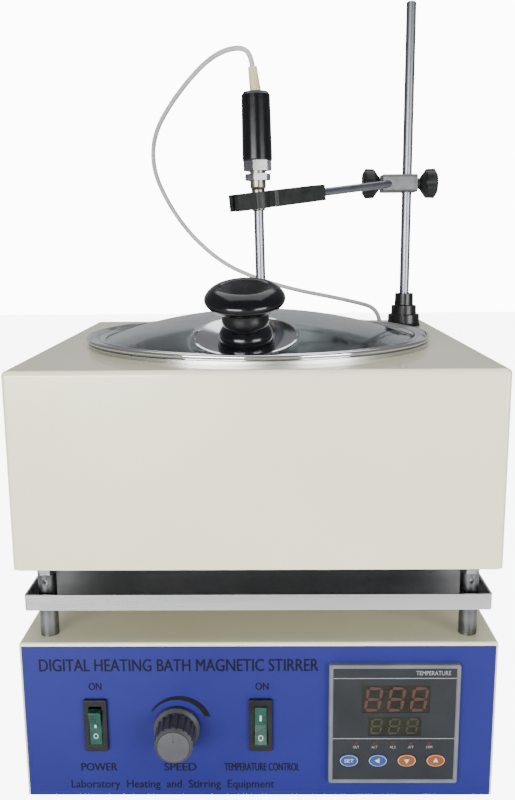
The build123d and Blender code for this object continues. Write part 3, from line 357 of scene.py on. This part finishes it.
meter_bezel_grey = finish(
    "meter bezel plastic", [(0.10, 0.108, 0.12), (0.135, 0.143, 0.155)], (0.45, 0.6),
    tone=(80, 0.5), texture=(1600, 8e-6), Specular_IOR_Level=0.3,
)
meter_face_grey = finish(
    "meter face film", [(0.014, 0.0155, 0.018), (0.019, 0.021, 0.024)], (0.5, 0.62),
    tone=(40, 0.6), texture=(1700, 8e-6), Specular_IOR_Level=0.2,
)
window_filter = finish(
    "window filter", [(0.009, 0.009, 0.006), (0.015, 0.015, 0.010)], (0.22, 0.34), tone=(90, 0.6), texture=(900, 2e-6),
    Specular_IOR_Level=0.25,
)
dark_red = finish(
    "unlit red segments", [(0.040, 0.013, 0.010), (0.055, 0.017, 0.012)], (0.4, 0.5), texture=(1500, 2e-6),
)
dark_olive = finish(
    "unlit green segments", [(0.020, 0.021, 0.010), (0.028, 0.029, 0.013)], (0.3, 0.4), texture=(1500, 2e-6),
)
lamp_red = finish("lamp lens", [(0.035, 0.014, 0.012), (0.05, 0.018, 0.015)], (0.15, 0.3), texture=(1500, 2e-6))
key_blue = finish(
    "blue key", [(0.014, 0.036, 0.145), (0.020, 0.048, 0.18)], (0.35, 0.5), tone=(200, 0.6), texture=(1400, 8e-6),
)
key_orange = finish(
    "orange key", [(0.15, 0.042, 0.010), (0.19, 0.055, 0.014)], (0.35, 0.5), tone=(200, 0.6), texture=(1400, 8e-6),
)
key_rim_blue = finish("blue key rim", [(0.25, 0.38, 0.62), (0.32, 0.45, 0.70)], (0.4, 0.5), texture=(1400, 4e-6))
key_rim_orange = finish("orange key rim", [(0.62, 0.36, 0.22), (0.70, 0.42, 0.27)], (0.4, 0.5), texture=(1400, 4e-6))
rocker_green = finish(
    "rocker green", [(0.002, 0.036, 0.024), (0.004, 0.058, 0.038)], (0.24, 0.36), tone=(160, 0.7), texture=(900, 4e-6),
    Coat_Weight=0.12, Coat_Roughness=0.15, Subsurface_Weight=0.2, Subsurface_Scale=0.002,
)
sleeve_cream = finish(
    "glass-fibre sleeve", [(0.46, 0.40, 0.24), (0.62, 0.56, 0.38)], (0.45, 0.65), tone=(260, 0.9), texture=(1500, 3e-5),
    stretch=(1, 1, 0.12),
)
cable_grey = finish(
    "cable grey", [(0.33, 0.33, 0.32), (0.40, 0.40, 0.39)], (0.38, 0.52), tone=(90, 0.6), texture=(1200, 8e-6),
)
board_green = finish("circuit board", [(0.01, 0.10, 0.04), (0.02, 0.16, 0.06)], (0.3, 0.45), texture=(500, 1e-5))
mineral_wool = finish(
    "mineral wool", [(0.50, 0.46, 0.32), (0.66, 0.62, 0.46)], (0.8, 0.95), tone=(120, 0.9), texture=(350, 4e-4),
)

# %% [markdown]
# ## Glass
# The lid is tempered glass, faintly grey. Wiping leaves it a little smeared, so its roughness follows a broad mask.

# %% Glass
lid_glass_finish = finish(
    "lid glass", [(0.74, 0.80, 0.82), (0.80, 0.85, 0.87)], (0.0, 0.10), tone=(9, 0.9), texture=(60, 6e-6),
    Transmission_Weight=1.0, IOR=1.5,
)
print("finishes:", len(bpy.data.materials))

# %% [markdown]
# ## Finishes on the frame's own pieces
# A piece from the frame whose shape is right keeps its mesh and only gets a finish, in each of its material slots.

# %% Put the finishes on
finish_of_node = {
    "base_shell": cream_enamel,
    "bath_shell": cream_enamel,
    "front_label": blue_label,
    "base_plate": zinc_steel,
    "bath_plate": zinc_steel,
    "case_screws": zinc_steel,
    "panel_nuts": zinc_steel,
    "post_studs": zinc_steel,
    "motor": zinc_steel,
    "motor_bracket": zinc_steel,
    "drive_shaft": rod_steel,
    "magnet_carrier": cap_aluminium,
    "magnets": polished_steel,
    "transformer": iron_laminations,
    "control_board": board_green,
    "meter_board": board_green,
    "insulation": mineral_wool,
    "rubber_feet": boot_rubber,
    "switch_bodies": satin_black,
    "power_rocker": rocker_green,
    "heat_rocker": rocker_green,
    "speed_knob": knob_grey,
    "speed_knob_cap": cap_aluminium,
    "speed_shaft": brass,
    "speed_pot": zinc_steel,
    "meter_bezel": meter_bezel_grey,
    "meter_face": meter_face_grey,
    "meter_windows": window_filter,
    "meter_case": satin_black,
    "status_lamps": lamp_red,
    "set_button": key_blue,
    "shift_button": key_blue,
    "down_button": key_orange,
    "up_button": key_orange,
    "power_inlet": satin_black,
    "inlet_pins": brass,
    "fuse_holder": satin_black,
    "support_posts": post_chrome_with_painted_shade,
    "drip_tray": brushed_steel,
    "bath_pot": pot_steel,
    "ring_heater": heater_steel,
    "lid_glass": lid_glass_finish,
    "knob_disc": polished_steel,
    "lid_knob": gloss_black,
    "knob_screw": zinc_steel,
    "stand_rod": rod_steel,
    "rod_boot": boot_rubber,
    "boss_head": cast_grey,
    "arm_screw": wrinkle_black,
    "rod_screw": wrinkle_black,
    "clamp_arm": rod_steel,
    "probe_clip": wrinkle_black,
    "probe_fitting": dark_fitting,
    "probe_nuts": zinc_steel,
    "probe_stem": rod_steel,
    "probe_handle": gloss_black,
    "probe_sleeve": sleeve_cream,
    "cable_grommets": boot_rubber,
}
for node, material in finish_of_node.items():
    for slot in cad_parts[node].material_slots:
        slot.material = material
print("dressed nodes:", len(finish_of_node))

# %% [markdown]
# ## Probe cable
# A thin round lead leaves the sleeve over the probe's handle, swings out to the left and round behind the lid, and
# drops through a grommet in the cabinet's top. It is one smooth NURBS line through listed control points. It
# bends between the cabinet and the clamp, which slides on its rod.

# %% Probe cable
cable_points = [
    (-2.32, 2.00, 423.67),
    (-3.23, 2.00, 431.02),
    (-9.4, 3.5, 435.8),
    (-23.0, 10.5, 434.5),
    (-37.5, 21.0, 426.5),
    (-57.0, 42.0, 410.0),
    (-73.0, 64.0, 391.0),
    (-77.0, 83.0, 369.0),
    (-68.0, 95.0, 345.0),
    (-52.0, 103.0, 321.0),
    (-28.0, 113.0, 299.0),
    (0.0, 116.0, 286.5),
    (29.0, 117.0, 278.0),
    (56.0, 112.0, 273.0),
    (76.0, 103.0, 269.0),
    (87.5, 96.5, 266.0),
    (92.8, 93.3, 257.0),
    (92.6, 93.4, 238.0),
    (93.0, 93.2, 208.0),
    (92.7, 93.4, 176.0),
    (92.8, 93.3, 142.5),
]
cable_radius = 1.6 * mm
line = bpy.data.curves.new("probe_lead", "CURVE")
line.dimensions = "3D"
spline = line.splines.new("NURBS")
spline.points.add(len(cable_points) - 1)
for point, place in zip(spline.points, cable_points):
    point.co = (*(value * mm for value in place), 1)
spline.order_u = 3
spline.use_endpoint_u = True
spline.resolution_u = 8
probe_lead = bpy.data.objects.new("probe_lead", line)
bpy.context.scene.collection.objects.link(probe_lead)
bare_line = bpy.data.meshes.new_from_object(probe_lead)
bpy.data.meshes.remove(bare_line)
line.bevel_depth = cable_radius
line.bevel_resolution = 4
line.use_fill_caps = True
pick(probe_lead)
bpy.ops.object.convert(target="MESH")
probe_lead = smooth(bpy.context.object, 60)
probe_lead.data.materials.clear()
probe_lead.data.materials.append(cable_grey)
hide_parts("probe_cable")
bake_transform(probe_lead)
print("cable points:", len(cable_points))

# %% [markdown]
# ## Words and marks on the label
# The title and the lower line describe the machine in general words, and the others name the controls. A text object
# is made a mesh, stretched to its printed width and height, turned to face the user, and laid on the label as ink a
# few hundredths of a millimetre thick.

# %% Lettering
label_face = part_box("front_label")[0][1]
ink = 0.05 * mm


def lettering(name, words, left, right, bottom, top, material=black_ink, face=label_face, body="housing", bold=0.3):
    """Prints words between two sides and two heights, in millimetres, on a face that looks to the front.

    Bold print is the same print laid down twice, a fraction of a millimetre apart.
    """
    bpy.ops.object.select_all(action="DESELECT")
    bpy.ops.object.text_add(location=(0, 0, 0))
    text = bpy.context.object
    text.data.body = words
    text.data.extrude = 0.5
    text.data.resolution_u = 4
    pick(text)
    bpy.ops.object.convert(target="MESH")
    piece = bpy.context.object
    piece.name = name
    low = Vector(min(v.co[i] for v in piece.data.vertices) for i in range(3))
    high = Vector(max(v.co[i] for v in piece.data.vertices) for i in range(3))
    size = high - low
    fit = Matrix.Diagonal(((right - left) * mm / size.x, (top - bottom) * mm / size.y, ink / size.z, 1))
    stand = Matrix.Rotation(math.radians(90), 4, "X")
    place = Matrix.Translation((left * mm, face, bottom * mm))
    piece.data.transform(place @ stand @ fit @ Matrix.Translation(-low))
    if bold:
        twin = piece.copy()
        twin.data = piece.data.copy()
        bpy.context.scene.collection.objects.link(twin)
        twin.data.transform(Matrix.Translation((bold * mm, 0.1 * ink, 0)))
        pick(piece)
        twin.select_set(True)
        bpy.ops.object.join()
    return dress(piece, material, body=body)


lettering("title_print", "DIGITAL HEATING BATH MAGNETIC STIRRER", -121.0, 33.0, 84.6, 92.0)
lettering("power_on_print", "ON", -94.2, -87.2, 73.4, 77.8)
lettering("heat_on_print", "ON", -1.7, 5.5, 73.4, 77.8)
lettering("power_print", "POWER", -100.5, -80.3, 23.6, 28.4)
lettering("speed_print", "SPEED", -53.5, -35.5, 23.6, 28.4)
lettering("heat_print", "TEMPERATURE CONTROL", -19.6, 22.7, 23.6, 28.4)
lettering("maker_print", "Laboratory  Heating  and  Stirring  Equipment", -106.6, 8.5, 11.3, 17.8, bold=0.2)
print("label words printed at y =", round(label_face / mm, 2))

# %% [markdown]
# ## The lid's rim
# The rim is one strip of stainless steel, rolled round the glass: a round outer bead, a flat channel, and an inner
# bead that grips the glass. A turned piece like this is easiest ring by ring: a circle is extruded along its axis
# and resized at every point of the outline, and the last ring meets the first.

# %% Turned pieces
def turned(name, outline, sides=144):
    """Turns a closed outline of (radius, height) in millimetres round the upright axis, ring by ring."""
    first_r, first_z = outline[0]
    bpy.ops.object.select_all(action="DESELECT")
    bpy.ops.mesh.primitive_circle_add(vertices=sides, radius=first_r * mm, location=(0, 0, first_z * mm))
    piece = bpy.context.object
    piece.name = name
    bpy.ops.object.mode_set(mode="EDIT")
    bpy.ops.mesh.select_all(action="SELECT")
    for (old_r, old_z), (new_r, new_z) in zip(outline, outline[1:] + outline[:1]):
        bpy.ops.mesh.extrude_region_move(TRANSFORM_OT_translate={"value": (0, 0, (new_z - old_z) * mm)})
        ratio = new_r / old_r
        bpy.ops.transform.resize(value=(ratio, ratio, 1), center_override=(0, 0, new_z * mm))
    bpy.ops.mesh.select_all(action="SELECT")
    bpy.ops.mesh.remove_doubles(threshold=1e-6)
    bpy.ops.mesh.normals_make_consistent(inside=False)
    bpy.ops.object.mode_set(mode="OBJECT")
    return settle(piece)


def bead(centre_r, centre_z, radius, start, stop, steps=8):
    """Points on a round of the outline, from one angle to another, in degrees."""
    turns = [math.radians(start + (stop - start) * step / steps) for step in range(steps + 1)]
    return [(centre_r + radius * math.cos(turn), centre_z + radius * math.sin(turn)) for turn in turns]


# %% Lid rim
rim_low, rim_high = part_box("lid_rim")
rim_r = (rim_high[0] - rim_low[0]) / 2 / mm
wall_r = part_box("lid_glass")[1][0] / mm + 0.1
top, foot = rim_high[2] / mm, rim_low[2] / mm
bath_y = (rim_high[1] + rim_low[1]) / 2
rim_outline = (
    [(wall_r + 0.8, foot), (wall_r + 0.8, top - 3.4), (rim_r - 1.2, top - 3.4)]
    + bead(rim_r - 1.4, top - 1.6, 1.4, -90, 180, 12)
    + [(rim_r - 3.2, top - 2.4), (wall_r + 2.0, top - 2.7), (wall_r + 1.0, top - 2.5)]
    + bead(wall_r - 0.7, top - 2.0, 1.1, 0, 150, 8)
    + [(wall_r - 3.4, top - 2.0), (wall_r - 3.4, top - 2.6), (wall_r, top - 3.7)]
    + [(wall_r, foot + 0.8), (wall_r - 3.0, foot + 0.8), (wall_r - 3.0, foot)]
)
rolled_rim = turned("rolled_rim", rim_outline)
rolled_rim.data.transform(Matrix.Translation((0, bath_y, 0)))
smooth(rolled_rim, 40)
dress(rolled_rim, polished_steel, "lid_rim", body="lid")
print("rim radius", round(rim_r, 1), "faces", len(rolled_rim.data.polygons))

# %% [markdown]
# ## The speed mark
# The printed mark round the speed knob swells from a thin end to a thick one. It is a disc of ink with a second
# disc, a little smaller and off-centre, cut out of it, and two straight cuts that trim its ends.

# %% Speed mark
def ink_disc(name, x, z, radius, thick):
    """A thin disc that stands on the label's face."""
    bpy.ops.object.select_all(action="DESELECT")
    bpy.ops.mesh.primitive_cylinder_add(
        vertices=128, radius=radius * mm, depth=thick, location=(x * mm, label_face, z * mm),
        rotation=(math.radians(90), 0, 0),
    )
    disc = bpy.context.object
    disc.name = name
    return settle(disc)


knob_low, knob_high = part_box("speed_knob")
knob_x = (knob_low[0] + knob_high[0]) / 2 / mm
knob_z = (knob_low[2] + knob_high[2]) / 2 / mm
mark_centre, mark_radius = (knob_x + 1.6, knob_z + 0.7), 18.1
hollow_centre, hollow_radius = (knob_x + 0.2, knob_z - 0.4), 16.7
speed_mark = ink_disc("speed_mark", *mark_centre, mark_radius, 2 * ink)
hollow = ink_disc("hollow", *hollow_centre, hollow_radius, 10 * ink)
cut = speed_mark.modifiers.new("cut", "BOOLEAN")
cut.operation = "DIFFERENCE"
cut.object = hollow
pick(speed_mark)
bpy.ops.object.modifier_apply(modifier="cut")
bpy.data.objects.remove(hollow)
bpy.ops.object.mode_set(mode="EDIT")
trims = [((knob_x, knob_z + 8.0), (0.1, 1.0)), ((knob_x - 14.8, knob_z), (1.0, 0.3))]
for point, normal in trims:
    bpy.ops.mesh.select_all(action="SELECT")
    bpy.ops.mesh.bisect(
        plane_co=(point[0] * mm, label_face, point[1] * mm), plane_no=(normal[0], 0, normal[1]),
        use_fill=True, clear_inner=True,
    )
bpy.ops.object.mode_set(mode="OBJECT")
dress(speed_mark, black_ink)
print("speed mark faces", len(speed_mark.data.polygons))

# %% [markdown]
# ## The controller's face
# Two fine lines cross the face. Behind the dark windows, the unlit segments of three digits each still show, dull
# red above and dull olive below. One segment is a stretched hexagon, and a digit is seven of them, leaning a little.

# %% Controller lines
face_low, face_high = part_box("meter_face")
face_y = face_low[1]
line_radius = 0.3 * mm
lamp_left, lamp_spacing, legend_half = 54.3, 10.15, 1.7


def ruled_line(name, height):
    """A printed line right across the controller's face."""
    bpy.ops.object.select_all(action="DESELECT")
    bpy.ops.mesh.primitive_circle_add(
        vertices=4, radius=line_radius, fill_type="NGON", rotation=(0, 0, math.radians(45)),
    )
    piece = bpy.context.object
    piece.name = name
    settle(piece)
    half = (face_high[0] - face_low[0]) / 2
    bpy.ops.transform.resize(value=(half / (line_radius * math.cos(math.radians(45))), 1, 1))
    settle(piece)
    middle = Vector(((face_low[0] + face_high[0]) / 2, face_y - ink, height * mm))
    piece.data.transform(Matrix.Translation(middle) @ Matrix.Rotation(math.radians(90), 4, "X"))
    return dress(piece, line_ink)


ruled_line("upper_line", 81.8)
ruled_line("lower_line", 45.4)
lettering("meter_print", "TEMPERATURE", 86.5, 105.5, 83.6, 86.2, material=line_ink, face=face_y, bold=0)
for count, legend in enumerate(("OUT", "ALT", "AL2", "AT", "COM")):
    lamp_x = lamp_left + lamp_spacing * count
    sides = (lamp_x - legend_half, lamp_x + legend_half)
    lettering(f"lamp_print_{count + 1}", legend, *sides, 39.4, 40.9, line_ink, face_y, bold=0)
print("controller prints at y =", round(face_y / mm, 2))

# %% Unlit digits
window_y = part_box("meter_windows")[0][1]
digit_lean = 0.14


def segment(long, thick):
    """One segment's mesh, flat on the front plane and centred: a hexagon pulled out along x."""
    bpy.ops.object.select_all(action="DESELECT")
    bpy.ops.mesh.primitive_circle_add(vertices=6, radius=thick / 2 * mm, fill_type="NGON")
    piece = bpy.context.object
    for vertex in piece.data.vertices:
        side = 1 if vertex.co.x > 0 else -1
        vertex.co.x += side * (long - thick) / 2 * mm
    piece.data.transform(Matrix.Rotation(math.radians(90), 4, "X"))
    return piece


def digit(name, x, z, wide, tall, thick, material):
    """Seven unlit segments with a slight lean, their lower left corner at x and z."""
    half = tall / 2
    places = [(wide / 2, tall, 0), (wide / 2, half, 0), (wide / 2, 0, 0)]
    places += [(side, level, 90) for side in (0, wide) for level in (half / 2, half * 1.5)]
    parts = []
    for across, up, turn in places:
        part = segment((wide if turn == 0 else half) - 0.5 * thick, thick)
        quarter_turn = Matrix.Rotation(math.radians(turn), 4, "Y")
        part.data.transform(Matrix.Translation((across * mm, 0, up * mm)) @ quarter_turn)
        parts.append(part)
    bpy.ops.object.select_all(action="DESELECT")
    for part in parts:
        part.select_set(True)
    bpy.context.view_layer.objects.active = parts[0]
    bpy.ops.object.join()
    piece = bpy.context.object
    piece.name = name
    lean = Matrix(((1, 0, digit_lean, 0), (0, 1, 0, 0), (0, 0, 1, 0), (0, 0, 0, 1)))
    piece.data.transform(Matrix.Translation((x * mm, window_y - ink, z * mm)) @ lean)
    return dress(piece, material)


# Each row is its name, left side, spacing and foot, a digit's width, height and stroke, and the finish.
digit_rows = [
    ("red_digit", 58.9, 12.6, 62.6, 7.3, 13.0, 2.0, dark_red),
    ("olive_digit", 62.2, 9.9, 48.6, 5.2, 8.4, 1.3, dark_olive),
]
for count in range(3):
    for row, left, spacing, foot_z, wide, tall, thick, material in digit_rows:
        digit(f"{row}_{count + 1}", left + spacing * count, foot_z, wide, tall, thick, material)
print("unlit digits:", 3 * len(digit_rows))

# %% [markdown]
# ## Keys
# Each oval key has a pale rim and a symbol: a word on the first, then arrows. A rim is a thin torus pressed into an
# oval, and an arrow is a three-sided disc.

# %% Key rims and symbols
ring_radius, ring_thick, ring_depth, ring_squash = 4.75 * mm, 0.3 * mm, 0.25 * mm, 0.70
arrow_radius, arrow_thick = 1.7 * mm, 0.1 * mm
word_half_width, word_half_height = 2.6, 1.0


def key_rim(node, body, material):
    """Lays a pale oval ring round a key's face, and returns the key's centre and the depth of its face."""
    low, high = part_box(node)
    centre = (low + high) / 2
    bpy.ops.object.select_all(action="DESELECT")
    bpy.ops.mesh.primitive_torus_add(
        major_segments=48, minor_segments=8, major_radius=ring_radius, minor_radius=ring_thick,
        location=(centre.x, low[1] + ring_depth, centre.z), rotation=(math.radians(90), 0, 0),
    )
    piece = bpy.context.object
    piece.name = node + "_rim"
    bpy.ops.transform.resize(value=(1, 1, ring_squash), center_override=tuple(piece.location))
    settle(piece)
    smooth(piece, 60)
    dress(piece, material, body=body)
    return centre, low[1]


def arrow(name, centre, front, turn, body):
    """A small three-sided arrow on a key's face."""
    bpy.ops.object.select_all(action="DESELECT")
    bpy.ops.mesh.primitive_cylinder_add(vertices=3, radius=arrow_radius, depth=arrow_thick)
    piece = bpy.context.object
    piece.name = name
    face = Matrix.Rotation(math.radians(turn), 4, "Y") @ Matrix.Rotation(math.radians(90), 4, "X")
    piece.data.transform(Matrix.Translation((centre.x, front, centre.z)) @ face)
    return dress(piece, pale_ink, body=body)


centre, front = key_rim("set_button", "set_key", key_rim_blue)
across = (centre.x / mm - word_half_width, centre.x / mm + word_half_width)
upward = (centre.z / mm - word_half_height, centre.z / mm + word_half_height)
lettering("set_word", "SET", *across, *upward, material=pale_ink, face=front, body="set_key", bold=0)
for way, turn, rim_finish in (("shift", -90, key_rim_blue), ("down", 180, key_rim_orange), ("up", 0, key_rim_orange)):
    centre, front = key_rim(f"{way}_button", f"{way}_key", rim_finish)
    arrow(f"{way}_arrow", centre, front, turn, f"{way}_key")
print("keys: 4, the last at", [round(value / mm, 1) for value in centre])

# %% [markdown]
# ## Marks on the rockers
# A rocker carries a stroke for on and a ring for off. Its face slopes, so each mark finds the face with two rays
# from the front and leans with it.

# %% Rocker marks
ray_start = 0.02
half_widths = {"I": 0.16, "O": 0.42}


def rocker_mark(name, words, node, body, height, tall):
    """Prints a mark on a rocker's sloping face, centred at a height in millimetres."""
    low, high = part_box(node)
    x = (low[0] + high[0]) / 2
    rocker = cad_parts[node]
    starts = [Vector((x, low[1] - ray_start, (height + step) * mm)) for step in (-0.5, 0.5)]
    hits = [rocker.ray_cast(start, Vector((0, 1, 0)))[1] for start in starts]
    slope = math.atan2(hits[1].y - hits[0].y, hits[1].z - hits[0].z)
    half = tall * half_widths[words]
    piece = lettering(name, words, -half, half, -tall / 2, tall / 2, material=pale_ink, face=-ink, body=body, bold=0)
    middle = (hits[0] + hits[1]) / 2
    piece.data.transform(Matrix.Translation(middle) @ Matrix.Rotation(-slope, 4, "X"))
    return piece


rocker_mark("power_off_mark", "O", "power_rocker", "power_switch_rocker", 46.6, 3.2)
rocker_mark("power_on_mark", "I", "power_rocker", "power_switch_rocker", 52.4, 3.0)
rocker_mark("heat_off_mark", "O", "heat_rocker", "heat_switch_rocker", 46.6, 3.2)
rocker_mark("heat_on_mark", "I", "heat_rocker", "heat_switch_rocker", 57.4, 3.4)


# %% [markdown]
# ## Floor
# A pale floor under the stirrer. It glows to the camera alone, so it looks white, but its glow lights nothing.

# %% Floor
glow_to_camera = 7.5
bpy.ops.object.select_all(action="DESELECT")
bpy.ops.mesh.primitive_plane_add(size=6.0, location=(0, 0, 0))
floor = bpy.context.object
floor.name = "floor"
floor_card = finish(
    "floor card", [(0.80, 0.80, 0.80), (0.83, 0.83, 0.83)], (0.6, 0.75), texture=(200, 1e-5),
    Emission_Color=(1, 1, 1, 1),
)
card_tree = floor_card.node_tree
floor_eye = add_node(card_tree, "LightPath")
floor_glow = add_node(card_tree, "Math", {1: glow_to_camera}, operation="MULTIPLY")
card_tree.links.new(floor_eye.outputs["Is Camera Ray"], floor_glow.inputs[0])
card_tree.links.new(floor_glow.outputs[0], card_tree.nodes["Principled BSDF"].inputs["Emission Strength"])
floor.data.materials.append(floor_card)
print("floor finish:", floor_card.name)

# %% [markdown]
# ## Soft panels
# One large soft panel lights the front from the left, a smaller one from the right, and a wide one from overhead. A
# dim one behind shows in the glass.

# %% Soft panels
aim = (0, 0, 0.2)


def soft_panel(name, place, size, power):
    """An oblong soft light that looks at the middle of the stirrer."""
    data = bpy.data.lights.new(name, "AREA")
    data.shape = "RECTANGLE"
    data.size, data.size_y = size
    data.energy = power
    lamp = bpy.data.objects.new(name, data)
    bpy.context.scene.collection.objects.link(lamp)
    lamp.location = place
    lamp.rotation_euler = (Vector(aim) - Vector(place)).to_track_quat("-Z", "Y").to_euler()
    lamp.visible_camera = False


soft_panel("left_panel", (-0.8, -1.6, 0.30), (1.2, 0.5), 46)
soft_panel("right_panel", (1.1, -1.2, 0.28), (0.9, 0.5), 24)
soft_panel("top_panel", (0.0, 0.3, 1.6), (1.6, 1.6), 21)
soft_panel("back_panel", (0.0, 1.7, 0.55), (2.6, 0.9), 2)
print("panels:", len(bpy.data.lights))

# %% [markdown]
# ## Surround
# The surround lights the stirrer dimly, so that its black parts stay black, and only the camera sees it as a white
# backdrop.

# %% Surround
dim_light, white_backdrop = 0.27, 12.0
world = bpy.data.worlds.new("studio")
world.use_nodes = True
sky = world.node_tree
surround = sky.nodes["Background"]
surround.inputs["Color"].default_value = (0.92, 0.95, 1.0, 1)
surround.inputs["Strength"].default_value = dim_light
backdrop = add_node(sky, "Background", {"Color": (1.0, 1.0, 1.0, 1), "Strength": white_backdrop})
seen = add_node(sky, "LightPath")
choose = add_node(sky, "MixShader")
sky.links.new(seen.outputs["Is Camera Ray"], choose.inputs["Fac"])
sky.links.new(surround.outputs[0], choose.inputs[1])
sky.links.new(backdrop.outputs[0], choose.inputs[2])
sky.links.new(choose.outputs[0], sky.nodes["World Output"].inputs["Surface"])
bpy.context.scene.world = world
print("surround:", world.name)
